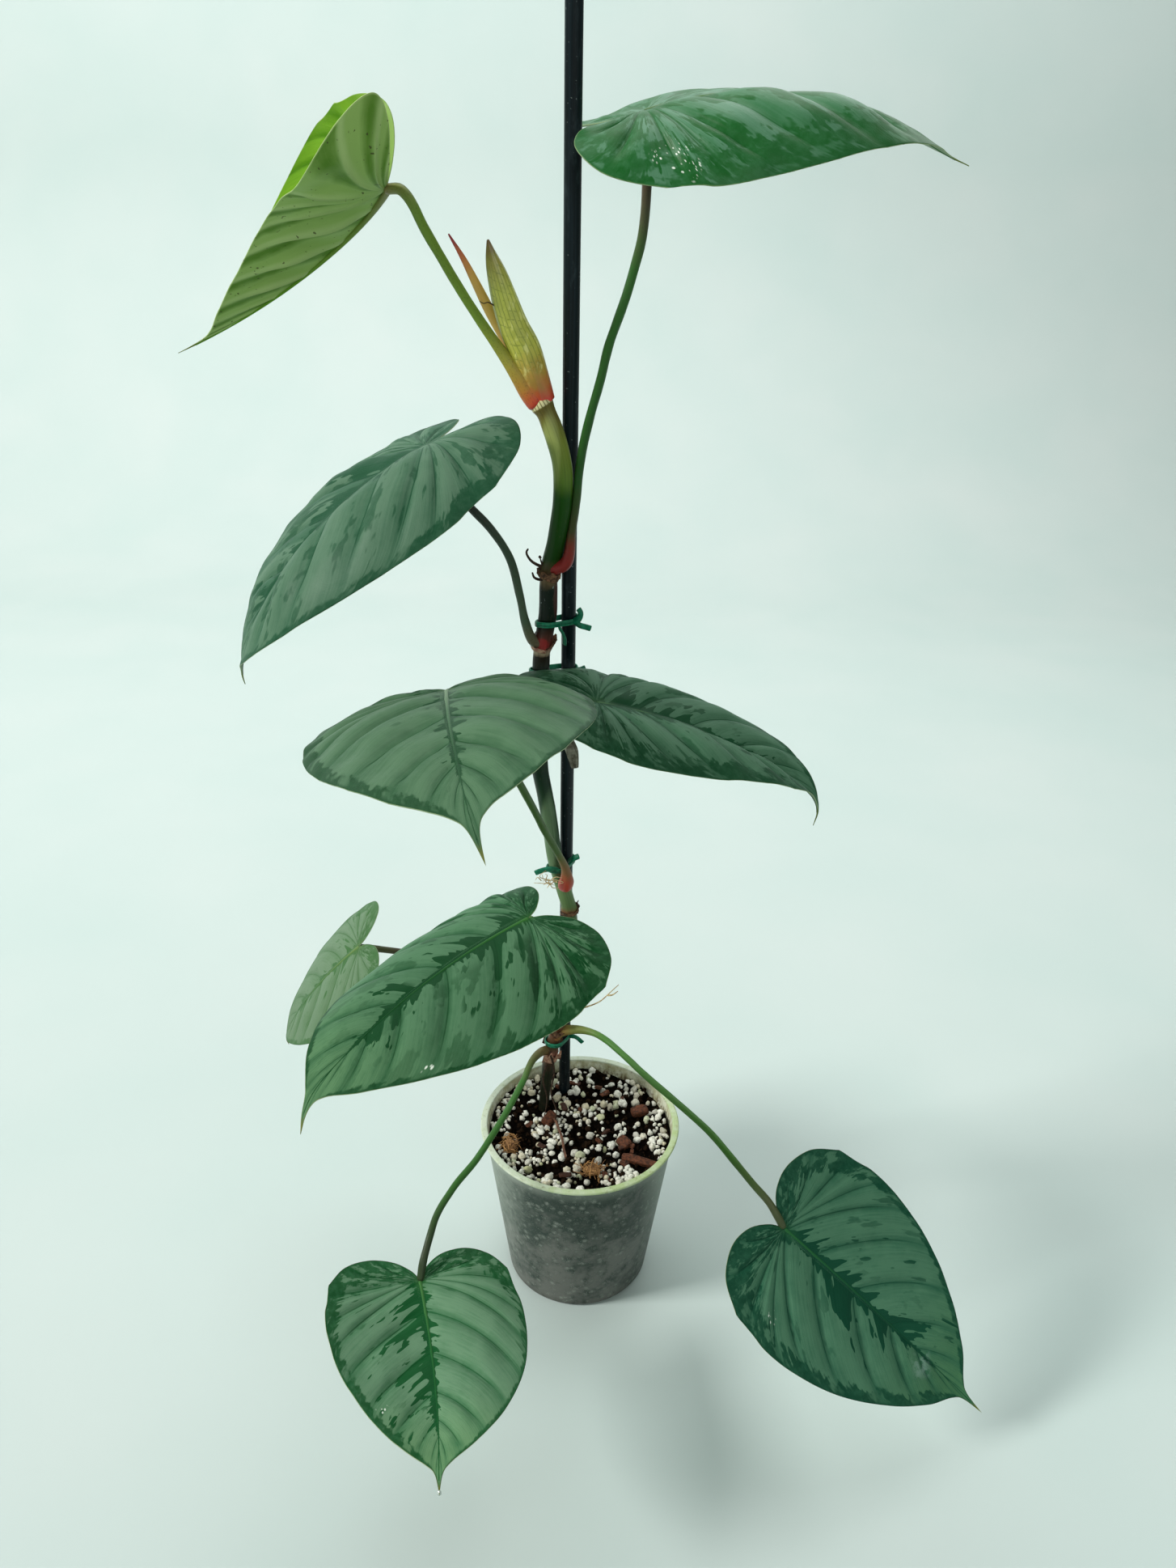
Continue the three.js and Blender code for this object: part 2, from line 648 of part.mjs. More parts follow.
function bladeSolid(leaf) {
  const { rows, columns, thickness } = BLADE;
  const axes = bladeAxes(leaf);
  const midrib = midribProfile(leaf);
  const tops = [];
  const bottoms = [];
  const seen = new Map();
  const cornerAt = (side, row, column) => {
    const v = Math.sin((Math.PI / 2) * (column / columns)); // finer towards the edge, where veins turn up
    const { point, normal, keel } = bladePoint(leaf, axes, midrib, side, row, v);
    const key = point.toArray().map((value) => value.toFixed(3)).join();
    if (!seen.has(key)) {
      seen.set(key, tops.length);
      tops.push(point.clone().addScaledVector(normal, thickness / 2));
      bottoms.push(point.clone().addScaledVector(normal, -thickness / 2 - keel));
    }
    return seen.get(key);
  };
  const corners = {};
  for (const side of [-1, 1]) {
    corners[side] = [];
    for (let row = 0; row <= rows; row += 1) {
      corners[side].push([...Array(columns + 1).keys()].map((column) => cornerAt(side, row, column)));
    }
  }
  const count = tops.length;
  const index = [];
  const bothFaces = (a, b, c) => {
    if (a === b || b === c || c === a) return;
    index.push(a, b, c, a + count, c + count, b + count);
  };
  for (const side of [-1, 1]) {
    for (let row = 0; row < rows; row += 1) {
      const [near, far] = [corners[side][row], corners[side][row + 1]];
      for (let column = 0; column < columns; column += 1) {
        const quad = [near[column], near[column + 1], far[column + 1], far[column]];
        if (side < 0) quad.reverse();
        bothFaces(quad[0], quad[1], quad[2]);
        bothFaces(quad[0], quad[2], quad[3]);
      }
    }
  }
  const edge = [
    ...corners[1].map((line) => line[columns]),
    ...corners[-1].map((line) => line[columns]).reverse().slice(1),
  ];
  edge.forEach((p, k) => {
    const q = edge[(k + 1) % edge.length];
    if (p !== q) index.push(q, p, p + count, q, p + count, q + count);
  });
  const positions = [...tops, ...bottoms].flatMap((p) => p.toArray());
  return solidOf(
    new THREE.BufferGeometry()
      .setAttribute("position", new THREE.BufferAttribute(new Float32Array(positions), 3))
      .setIndex(index),
  );
}

function stalkSolid(leaf, grow = 0) {
  const { up } = bladeAxes(leaf);
  const end = vec(leaf.joint).addScaledVector(up, -STALK.endSunk);
  const centres = centresAlong([...leaf.stalk, end.toArray()], STALK.step);
  const halfWidths = centres.map((_, k) => {
    const slimmed = THREE.MathUtils.smoothstep(k * STALK.step, 0, STALK.swellLength);
    return THREE.MathUtils.lerp(leaf.baseRadius, STALK.radius, slimmed) + grow;
  });
  return solidOf(tube(centres, halfWidths, STALK.sides));
}

function leafSolid(leaf) {
  return mainBody(bladeSolid(leaf).add(stalkSolid(leaf)).subtract(stemSolid(GAP)));
}

// Sheath round the next shoot, and the pointed bract behind it

function pointedTube(spec) {
  const centres = centresAlong(spec.path, 6);
  const halfWidths = centres.map((_, k) => stepped(spec.halfWidths, k / (centres.length - 1)));
  return { centres, halfWidths };
}

function sheathSolid(grow = 0) {
  const { centres, halfWidths } = pointedTube(SHEATH);
  return solidOf(tube(centres, halfWidths.map((w) => w + grow), SHEATH.sides, SHEATH.flatness))
    .subtract(stemSolid(GAP))
    .subtract(stalkSolid(LEAVES.leaf_1, GAP));
}

function bractSolid() {
  const { centres, halfWidths } = pointedTube(BRACT);
  return mainBody(
    solidOf(tube(centres, halfWidths, BRACT.sides, BRACT.flatness))
      .subtract(stemSolid(GAP))
      .subtract(sheathSolid(GAP))
      .subtract(stalkSolid(LEAVES.leaf_1, GAP)),
  );
}

function dryBractSolid() {
  const { centres, halfWidths } = pointedTube(DRY_BRACT);
  return mainBody(
    solidOf(tube(centres, halfWidths, DRY_BRACT.sides, DRY_BRACT.flatness))
      .subtract(stemSolid(GAP))
      .subtract(stalkSolid(LEAVES.leaf_5, GAP)),
  );
}

// Ties: a band round stem and stake together, with free ends

const stemCurve = new THREE.CatmullRomCurve3(STEM.path.map(vec), false, "centripetal");
const stemCentres = stemCurve.getSpacedPoints(600);
const stemAxisAt = (z) => stemCentres.find((p) => p.z >= z);

// The line round two circles that a stretched band would take.
function bandLine(circles, grow) {
  return [...Array(TIE.corners).keys()].map((k) => {
    const turn = (2 * Math.PI * k) / TIE.corners;
    const out = new THREE.Vector2(Math.cos(turn), Math.sin(turn));
    const reach = circles.map(({ centre, radius }) => centre.dot(out) + radius);
    const { centre, radius } = circles[reach[0] > reach[1] ? 0 : 1];
    return centre.clone().addScaledVector(out, radius + grow);
  });
}

function tieSolid({ z, slant, tails }) {
  const stake = stakeAxisAt(z);
  const stem = stemAxisAt(z);
  const circles = [
    { centre: new THREE.Vector2(stake.x, stake.y), radius: STAKE.radius + GAP + TIE.slack },
    { centre: new THREE.Vector2(stem.x, stem.y), radius: STEM.radiusHigh + GAP + TIE.slack },
  ];
  const band = new THREE.Shape(bandLine(circles, TIE.thickness));
  band.holes.push(new THREE.Path(bandLine(circles, 0)));
  const geometry = new THREE.ExtrudeGeometry(band, { depth: TIE.height, bevelEnabled: false });
  geometry.translate(-stake.x, 0, -TIE.height / 2).scale(1 / Math.cos(rad(slant)), 1, 1);
  const ring = solidOf(geometry.rotateY(-rad(slant)).translate(stake.x, 0, z));
  const ends = tails.map((tail) => {
    const route = tail.map((p) => vec(p).add(stake).toArray());
    const centres = centresAlong(route, 4);
    return solidOf(tube(centres, centres.map(() => TIE.tailRadius), TIE.tailSides));
  });
  return mainBody(wasm.Manifold.union([ring, ...ends]).subtract(stakeSolid(GAP)).subtract(stemSolid(GAP)));
}

// The whole plant

const plant = new THREE.Group();

function add(name, solid, [color, roughness]) {
  const material = new THREE.MeshStandardMaterial({ color, roughness, metalness: 0 });
  const mesh = new THREE.Mesh(geometryOf(solid), material);
  mesh.name = name;
  plant.add(mesh);
}

add("pot", potSolid(), LOOKS.pot);
add("potting_mix", mixSolid(), LOOKS.mix);
add("stake", stakeSolid(), LOOKS.stake);
add("stem", stemWithRoots(), LOOKS.stem);
for (const [name, leaf] of Object.entries(LEAVES)) {
  add(name, leafSolid(leaf), name === "leaf_1" ? LOOKS.newLeaf : LOOKS.leaf);
}
add("sheath", mainBody(sheathSolid()), LOOKS.sheath);
add("bract", bractSolid(), LOOKS.bract);
add("dry_bract", dryBractSolid(), LOOKS.dryBract);
for (const [name, tie] of Object.entries(TIES)) add(name, tieSolid(tie), LOOKS.tie);

export default plant;
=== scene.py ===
import itertools
import math
from types import SimpleNamespace

import bmesh
import bpy
import numpy as np
from mathutils import Matrix, Vector


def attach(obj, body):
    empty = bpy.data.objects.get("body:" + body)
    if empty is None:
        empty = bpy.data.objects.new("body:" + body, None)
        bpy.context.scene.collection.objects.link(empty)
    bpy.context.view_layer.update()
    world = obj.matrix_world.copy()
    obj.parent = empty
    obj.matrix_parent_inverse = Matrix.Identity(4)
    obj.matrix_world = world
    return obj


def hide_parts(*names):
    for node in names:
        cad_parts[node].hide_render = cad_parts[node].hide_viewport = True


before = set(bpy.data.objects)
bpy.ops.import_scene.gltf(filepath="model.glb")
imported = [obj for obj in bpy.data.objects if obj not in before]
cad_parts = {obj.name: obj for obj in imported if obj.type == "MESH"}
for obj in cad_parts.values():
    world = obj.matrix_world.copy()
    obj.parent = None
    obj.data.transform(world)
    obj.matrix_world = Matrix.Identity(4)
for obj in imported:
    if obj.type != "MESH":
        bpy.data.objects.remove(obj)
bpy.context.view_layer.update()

MM = 0.001

# Dimensions shared with the CAD part

GAP = 0.4  # clearance between pieces that touch
POT = dict(height=127, rim=70, neck=66.8, base=51, base_round=4, wall=1.4, floor=2, lip=2)
DRAIN = dict(count=6, ring=34, radius=4)
MIX_LEVEL = 118
STAKE = dict(
    radius=4, length=750, point=15, point_radius=0.8, point_z=50, entry=(-12.2, 42.9, 115),
)
STAKE_LEAN = (0.1, 8.7)  # degrees to the right and forward
STEM_PATH = [
    (-30, 24, 82), (-27, 26, 115), (-25, 26, 140), (-23, 25, 160), (-18, 22, 186), (-13, 17.5, 210),
    (-11, 12, 245), (-9, 4.5, 294), (-14, 1.5, 318), (-19, 0.5, 338), (-22, 0, 362), (-25, -3, 384),
    (-28, -6, 404), (-28, -12, 442), (-27, -16, 468), (-26, -18, 483), (-23, -21, 503),
    (-22, -25, 528), (-18, -31, 546), (-15, -36.5, 567), (-15, -39.5, 585), (-18, -40, 598),
    (-23, -40, 611), (-27, -40, 618),
]
STEM_RADII = (4.5, 5)  # at the foot and at the top
STEM_NODES = [168, 187, 200, 215, 299, 440, 484, 528, 615]
HALF_OUTLINE = np.array([
    (0, 0), (0.07, -0.42), (0.24, -0.86), (0.48, -1.0), (0.74, -0.7), (0.93, 0), (1, 0.17),
    (0.965, 0.34), (0.84, 0.52), (0.6, 0.71), (0.33, 0.86), (0.11, 0.945), (0.035, 0.99),
    (0, 1.075),
])
ROWS = 20  # the outline of a half blade is read at rows from the joint, 0, to the tip
TIP = 1.075  # end of the drip tip, in blade lengths
FIRST_VEIN = 0.37  # veins that meet the edge behind this place start at the joint
VEIN_CROWDING = 1.3  # how much closer together the veins start near the joint
VEIN_SWEEP, VEIN_UPTURN = 1.15, 0.45  # how the veins bend forward on their way to the edge
STALK_RADIUS, STALK_SWELL = 2.2, 38  # radius, and length of the swollen base


def leaf(joint, attitude, size, folds, curls, bends, hook, sweep, base_radius, stalk):
    """One leaf. The attitude is heading, pitch and roll in degrees. The size is the length in
    millimetres, then the half width and the reach of the lobes in lengths. Folds and curls are
    for the left and right half, and bends for ahead of and behind the joint, in degrees."""
    heading, pitch, roll = attitude
    length, half_width, lobe = size
    return dict(
        joint=joint, heading=heading, pitch=pitch, roll=roll, length=length, half_width=half_width,
        lobe=lobe, folds=folds, curls=curls, bends=bends, hook=hook, sweep=sweep,
        base_radius=base_radius, stalk=stalk,
    )


LEAVES = {
    "leaf_1": leaf(
        (-93.2, -59.4, 707.8), (112.5, -18.3, 30), (135.4, 0.32, 0.27),
        (48.5, -122), (-37.5, -55), (70, -235), 9.5, -41.8, 3,
        [(-31.5, -41, 621), (-37, -43, 629.5), (-44, -45, 639), (-52, -48, 650.5),
         (-60, -51.5, 662.5), (-69, -57, 678), (-77, -62.5, 692.5), (-81, -64.5, 701),
         (-84, -64, 705.1), (-87, -63, 707.2)],
    ),
    "leaf_2": leaf(
        (19.5, -48, 739.7), (0.7, 17, 12), (155, 0.4, 0.21),
        (7.5, -10), (-8, 75.5), (49, -41), -15, -17, 4.2,
        [(-20, -27, 530), (-13, -31, 534), (-10, -34.5, 552), (-8, -37, 567), (-6, -40, 588),
         (-3, -42, 604), (3, -44, 627), (7, -46, 644), (13, -47, 661), (18, -47, 678),
         (21, -48, 691), (22, -50, 710), (21, -50, 728)],
    ),
    "leaf_3": leaf(
        (-82.7, -41, 594.3), (-145, -19.5, -17), (163, 0.43, 0.21),
        (-41, 19), (75, 19), (70, 15), 15, 15, 3.4,
        [(-25, -18, 483), (-31, -22, 488), (-35, -24.5, 499), (-38, -26, 515), (-43, -27, 535),
         (-52, -28, 550), (-62, -29, 561), (-71, -31, 572), (-78, -35, 583)],
    ),
    "leaf_4": leaf(
        (-67.2, -117, 493.5), (-83, 14, 20), (173.7, 0.39, 0.17),
        (3, -13), (39, 23), (18, 18), 36.5, 0.5, 4.2,
        [(-14, 0, 318), (-12, -7, 323), (-11, -12, 330), (-12, -16, 340), (-16, -22, 353),
         (-23, -33, 373), (-30, -46, 396), (-37, -59, 418), (-47, -76, 445), (-56, -95, 469),
         (-64.5, -110, 485)],
    ),
    "leaf_5": leaf(
        (4.5, -63.8, 468.1), (0, -8.9, -21.5), (141.4, 0.38, 0.27),
        (-53, -1), (71, 65), (28, 85), 64.7, -19, 3.6,
        [(-27, -13, 441), (-23, -22, 444), (-16, -35, 451), (-7, -49, 459), (0.5, -59, 464)],
    ),
    "leaf_6": leaf(
        (-31.9, -58.9, 330.7), (-139, -4, 18), (167.7, 0.44, 0.14),
        (19, -29), (21, 75.6), (17, 14), 37, -15.4, 3.4,
        [(-13, 16, 214), (-12, 8, 226), (-13, -1, 241), (-16, -13, 262), (-20, -29, 287),
         (-25, -44, 311), (-29, -54, 325)],
    ),
    "leaf_7": leaf(
        (-151, 18, 257), (174, -44, -20), (117, 0.4, 0.16),
        (0, -5), (20, 25), (25, 15), 25, 6, 3.2,
        [(-15, 20, 199), (-24, 24, 207), (-39, 29, 219), (-68, 33, 231), (-100, 34, 238),
         (-125, 32, 244), (-142, 25, 251)],
    ),
    "leaf_8": leaf(
        (-94.5, -135.4, 121.3), (-71.8, -13.6, 6), (127, 0.48, 0.12),
        (1.6, -18), (35, -16), (-33, 9.3), 21.3, 8, 3.6,
        [(-22, 24, 168), (-28, 18, 172), (-34, 8, 172), (-39, -10, 170), (-45, -28, 168),
         (-54, -50, 164), (-66, -74, 158), (-78, -92, 153), (-87, -107, 145), (-90, -118, 139),
         (-93, -128, 130)],
    ),
    "leaf_9": leaf(
        (124.8, -117.8, 151.3), (-12.5, -40.5, 54.6), (165.8, 0.38, 0.14),
        (-7, -20), (27, 0.5), (1.7, 12), -19.5, 3, 4.2,
        [(-16, 21, 187), (-4, 19, 191), (8, 13, 193), (17, 4, 194), (27, -8, 193), (44, -30, 191),
         (64, -54, 189), (83, -76, 185), (96, -93, 179), (107, -105, 172), (116, -112, 165),
         (121, -116, 158)],
    ),
}

SHEATH_PATH = [
    (-26, -40, 619), (-29.5, -42, 630), (-33.5, -43.5, 641), (-38, -45, 650), (-42, -46.5, 661),
    (-45, -48, 671), (-48, -49.5, 681), (-49.5, -50.5, 688),
]
SHEATH_WIDTHS = [(0, 6.3), (0.12, 7), (0.3, 7.6), (0.5, 7), (0.7, 5.8), (0.85, 4), (1, 0.5)]
BRACT_PATH = [
    (-29, -35, 619), (-37, -34, 632), (-44, -34, 646), (-51, -36, 658), (-56, -38.5, 668),
    (-62, -42.5, 680), (-68, -46, 690),
]
BRACT_WIDTHS = [(0, 2.4), (0.3, 3), (0.6, 2.4), (0.8, 1.6), (1, 0.4)]
DRY_BRACT_PATH = [
    (-7, -14, 407), (-8, -16, 415), (-10, -18.5, 423), (-14, -20, 431), (-21, -17, 434),
    (-27, -10, 430),
]
DRY_BRACT_WIDTHS = [(0, 2), (0.2, 3.4), (0.6, 3.4), (1, 2.8)]
AERIAL_ROOTS = [
    [(-21, -25, 529), (-28, -28, 532), (-32, -29, 535), (-34, -29, 539), (-33, -29, 541)],
    [(-21, -25, 525), (-27, -27.5, 524), (-30, -27, 525), (-31, -28, 528)],
]
SURFACE_ROOT = [(-22, 14, 120), (-17, 2, 121), (-12, -12, 120), (-9, -30, 119)]
CHIPS = [  # place, turn in degrees and size
    ((43, 18), 20, (13, 8, 6)), ((31, -14), -50, (11, 8, 5)), ((42, -32), -18, (28, 6, 5)),
    ((-22, 8), 60, (12, 8, 7)),
]
COIR = [((-48, -18), (9, 13, 6)), ((9, -41), (13, 10, 7))]
TIES = {  # height, slant up to the right in degrees, and the routes of the free ends
    "tie_1": (499, 5, [
        [(3, -4.6, 0.1), (5.8, -7.1, 2.2), (6.7, -7.1, 5.4), (5.3, -6.1, 7.8)],
        [(3, -4.6, 0), (6.4, -7.6, -1.3), (9.5, -8.1, -2), (12.6, -8.1, -2.9)],
        [(-5.2, -7.7, -0.6), (-4.5, -9.2, -3), (-2.9, -8.9, -5.8), (-2, -8.2, -9),
         (-2, -7.8, -12.7)],
    ]),
    "tie_2": (468, 0, [[(3, -4, 0), (7, -4.5, 1), (10, -3.5, 2)]]),
    "tie_3": (332, 5, [
        [(1.4, -4.8, 0.6), (4.5, -8.7, 5.6), (8.1, -9.7, 8)],
        [(-4.9, -14.8, 0.4), (-8.9, -16.2, 2), (-13.2, -16.7, 1.6), (-16.5, -16.7, 0.4),
         (-19.3, -16.7, -1)],
    ]),
    "tie_4": (177.5, 0, [[(3, -4.2, 0), (8, -7, 1), (13, -8, -3)]]),
}
TIE = dict(thickness=1.1, height=2.6, slack=0.3)


# Numbers

HASH_AXES, HASH_SEED = np.array([73856093, 19349663, 83492791]), 2654435
HASH_ROUNDS = ((15, 739187), (13, 1540483), (16, 1))
HASH_MASK = np.int64(0xFFFFFFFF)
FINE_STEPS = 24  # straight steps between two points of a route


def unit(vectors):
    vectors = np.asarray(vectors, float)
    return vectors / np.linalg.norm(vectors, axis=-1, keepdims=True)


def stepped(pairs, share):
    """Reads (share, value) pairs at any shares, smoothly."""
    at, values = zip(*pairs)
    share = np.clip(np.asarray(share, float), at[0], at[-1])
    k = np.clip(np.searchsorted(at, share, side="right") - 1, 0, len(at) - 2)
    slopes = np.gradient(values, at)
    at, values = np.array(at, float), np.array(values, float)
    span = at[k + 1] - at[k]
    t = (share - at[k]) / span
    return (
        values[k] * (1 + 2 * t) * (1 - t) ** 2 + values[k + 1] * t * t * (3 - 2 * t)
        + slopes[k] * span * t * (1 - t) ** 2 - slopes[k + 1] * span * t * t * (1 - t)
    )


def smoothstep(x, low, high):
    t = np.clip((x - low) / (high - low), 0, 1)
    return t * t * (3 - 2 * t)


def soft_noise(points, seed):
    """Smooth noise from -1 to 1 at each point, one bump per unit."""
    points = np.asarray(points, float)
    cell = np.floor(points).astype(np.int64)
    f = points - cell
    f = f * f * (3 - 2 * f)
    total = np.zeros(points.shape[:-1])
    for corner in itertools.product((0, 1), repeat=3):
        h = np.bitwise_xor.reduce((cell + np.array(corner)) * HASH_AXES, axis=-1)
        h = (h ^ (seed * HASH_SEED)) & HASH_MASK
        for shift, factor in HASH_ROUNDS:
            h = ((h ^ (h >> shift)) * factor) & HASH_MASK
        weight = np.prod(np.where(corner, f, 1 - f), axis=-1)
        total += weight * (h / 2**31 - 1)
    return total


def noise_at(x, y, z=0.0, seed=0):
    return soft_noise(np.stack(np.broadcast_arrays(x, y, z), -1), seed)


def smooth_path(route, step):
    """Evenly spaced points on the same smooth curve that the CAD part draws through a route."""
    route = np.asarray(route, float)
    padded = np.vstack([2 * route[0] - route[1], route, 2 * route[-1] - route[-2]])
    t = np.linspace(0, 1, FINE_STEPS, endpoint=False)[:, None]
    fine = []
    for p0, p1, p2, p3 in zip(padded, padded[1:], padded[2:], padded[3:]):
        d0, d1, d2 = (np.linalg.norm(b - a) ** 0.5 for a, b in ((p0, p1), (p1, p2), (p2, p3)))
        m1 = ((p1 - p0) / d0 - (p2 - p0) / (d0 + d1) + (p2 - p1) / d1) * d1
        m2 = ((p2 - p1) / d1 - (p3 - p1) / (d1 + d2) + (p3 - p2) / d2) * d1
        fine.append(
            (2 * t**3 - 3 * t**2 + 1) * p1 + (t**3 - 2 * t**2 + t) * m1
            + (3 * t**2 - 2 * t**3) * p2 + (t**3 - t**2) * m2
        )
    fine = np.vstack([*fine, route[-1]])
    run = np.concatenate([[0], np.cumsum(np.linalg.norm(np.diff(fine, axis=0), axis=1))])
    at = np.linspace(0, run[-1], math.ceil(run[-1] / step) + 1)
    return np.stack([np.interp(at, run, fine[:, i]) for i in range(3)], axis=1)


# Meshes

class Shape:
    """Points, faces and what the materials read at each point, before they become a mesh."""

    def __init__(self):
        self.points, self.faces, self.slots, self.data = [], [], [], {}
        self.count = 0

    def add(self, points, faces, slot=0, **data):
        points = np.asarray(points, float).reshape(-1, 3)
        self.points.append(points)
        self.faces += [[int(i) + self.count for i in face] for face in faces]
        self.slots += [slot] * len(faces)
        for key, values in data.items():
            self.data.setdefault(key, []).append(np.asarray(values, float).reshape(-1, 3))
        self.count += len(points)

    def build(self, name, materials, slot, replaced=(), mend=False):
        """Makes the piece. mend turns its faces outward."""
        mesh = bpy.data.meshes.new(name)
        mesh.from_pydata((np.vstack(self.points) * MM).tolist(), [], self.faces)
        for material in materials:
            mesh.materials.append(material)
        mesh.polygons.foreach_set("material_index", self.slots)
        for key, values in self.data.items():
            layer = mesh.attributes.new(key, "FLOAT_VECTOR", "POINT")
            layer.data.foreach_set("vector", np.vstack(values).astype(np.float32).ravel())
        mesh.shade_smooth()
        if mend:
            made = bmesh.new()
            made.from_mesh(mesh)
            bmesh.ops.recalc_face_normals(made, faces=made.faces)
            made.to_mesh(mesh)
            made.free()
        piece = bpy.data.objects.new(name, mesh)
        bpy.context.scene.collection.objects.link(piece)
        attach(piece, "root")
        if replaced:
            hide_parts(*replaced)
        return piece


def grid_faces(rows, columns, closed=False, start=0):
    """Quads between neighbouring lines of a grid of points."""
    strips = columns if closed else columns - 1
    k, i = np.meshgrid(np.arange(rows - 1) * columns, np.arange(strips), indexing="ij")
    j = (i + 1) % columns
    quads = np.stack([k + i, k + j, k + columns + j, k + columns + i], -1)
    return (quads.reshape(-1, 4) + start).tolist()


def lathe_faces(rings, sides):
    """The faces of a closed stack of rings, with a cap at both ends."""
    last = (rings - 1) * sides
    caps = [list(range(sides))[::-1], list(range(last, last + sides))]
    return grid_faces(rings, sides, closed=True) + caps


def mesh_of(made):
    """The points and faces of a bmesh, which is freed."""
    points = np.array([v.co[:] for v in made.verts])
    faces = [[v.index for v in face.verts] for face in made.faces]
    made.free()
    return points, faces


def ring_frames(centres, across):
    """The side and depth directions of each ring of a tube."""
    ahead = unit(np.gradient(centres, axis=0))
    side = np.asarray(across, float)
    sides = []
    for direction in ahead:
        side = unit(side - direction * side.dot(direction))
        sides.append(side)
    sides = np.array(sides)
    return sides, np.cross(ahead, sides)


def rounded_ends(centres, widths, depths):
    """Closes a tube with a dome at each end, inside its length."""
    turns = np.radians([20, 45, 70])
    domes = []
    for at, inner in ((0, 1), (-1, -2)):
        ahead = unit(centres[at] - centres[inner])
        reach = min(widths[at], 0.45 * np.linalg.norm(centres[at] - centres[inner]))
        domes.append([centres[at] - ahead * reach * (1 - math.sin(a)) for a in turns])
    shrink = np.cos(turns)
    centres = np.array([*domes[0][::-1], *centres[1:-1], *domes[1]])
    widths, depths = (
        np.concatenate([w[0] * shrink[::-1], w[1:-1], w[-1] * shrink]) for w in (widths, depths)
    )
    return centres, widths, depths


def tube(shape, centres, widths, depths=None, sides=16, across=(1, 0, 0), slot=0, relief=None,
         round_ends=True):
    """Adds a closed tube. Materials read its share along, turn and millimetres as "tube"."""
    centres = np.asarray(centres, float)
    widths, depths = (
        np.broadcast_to(np.asarray(w, float), len(centres)).copy()
        for w in (widths, widths if depths is None else depths)
    )
    if round_ends:
        centres, widths, depths = rounded_ends(centres, widths, depths)
    side, depth = ring_frames(centres, across)
    run = np.concatenate([[0], np.cumsum(np.linalg.norm(np.diff(centres, axis=0), axis=1))])
    turn = np.linspace(0, 2 * np.pi, sides, endpoint=False)
    out = (
        widths[:, None, None] * np.cos(turn)[None, :, None] * side[:, None]
        + depths[:, None, None] * np.sin(turn)[None, :, None] * depth[:, None]
    )
    if relief is not None:
        share, around = np.meshgrid(run / run[-1], turn, indexing="ij")
        out *= (1 + relief(share, around, run[-1]) / np.maximum(widths, 0.3)[:, None])[..., None]
    data = np.broadcast_arrays((run / run[-1])[:, None], turn[None] / (2 * np.pi), run[:, None])
    points = centres[:, None] + out
    shape.add(points, lathe_faces(len(centres), sides), slot, tube=np.stack(data, -1))


def pebble(shape, centre, radii, turn, random, lumps=0.18, detail=2):
    """Adds a lumpy stone. Materials read its own random numbers as "grain"."""
    made = bmesh.new()
    bmesh.ops.create_icosphere(made, subdivisions=detail, radius=1)
    points, faces = mesh_of(made)
    seed = int(random.integers(1 << 20))
    bumps = soft_noise(points * 1.4 + 7, seed) + 0.5 * soft_noise(points * 3.1, seed + 1)
    points = points * (1 + lumps * bumps)[:, None] * np.asarray(radii)
    rotation = Matrix.Rotation(turn[0], 3, "Z") @ Matrix.Rotation(turn[1], 3, "X")
    tint = np.tile([random.random(), random.random(), random.random()], (len(points), 1))
    shape.add(points @ np.array(rotation).T + centre, faces, grain=tint)


# Node graphs

def srgb(red, green, blue):
    """A colour as picked on a screen, 0 to 255, for a shader."""
    shares = [c / 255 for c in (red, green, blue)]
    return (*(c / 12.92 if c <= 10 / 255 else ((c + 0.055) / 1.055) ** 2.4 for c in shares), 1.0)


def mixed(first, second, share):
    return tuple(a + (b - a) * share for a, b in zip(first, second))


class Signal:
    """A socket that adds and multiplies like a number."""

    def __init__(self, graph, socket):
        self.graph, self.socket = graph, socket

    def math(self, operation, *others):
        inputs = dict(enumerate((self, *others)))
        node = self.graph.node("ShaderNodeMath", inputs, operation=operation)
        return Signal(self.graph, node.outputs[0])

    def __add__(self, other):
        return self.math("ADD", other)

    def __sub__(self, other):
        return self.math("SUBTRACT", other)

    def __mul__(self, other):
        return self.math("MULTIPLY", other)

    __radd__, __rmul__ = __add__, __mul__

    def __rsub__(self, other):
        return self.math("MULTIPLY_ADD", -1.0, other)

    def most(self, other):
        return self.math("MAXIMUM", other)

    def wave(self):
        return self.math("SINE")

    def peak(self, sharp):
        """1 where this is a half, falling to 0 on both sides."""
        return ((self - 0.5).math("ABSOLUTE") * -sharp + 1.0).most(0.0)

    def step(self, low, high):
        """0 below low, 1 above high and smooth between."""
        inputs = {"Value": self, "From Min": low, "From Max": high}
        node = self.graph.node("ShaderNodeMapRange", inputs, interpolation_type="SMOOTHSTEP")
        return Signal(self.graph, node.outputs["Result"])

    def until(self, low, high):
        """1 below low, 0 above high and smooth between."""
        return 1.0 - self.step(low, high)


def spot(place, centre, radii):
    """1 near a place, fading to 0 at the radii, all in millimetres."""
    total = 0.0
    for value, middle, radius in zip(place, centre, radii):
        part = (value - float(middle)) * (1 / radius)
        total = part * part + total
    return total.until(0.35, 1.0)


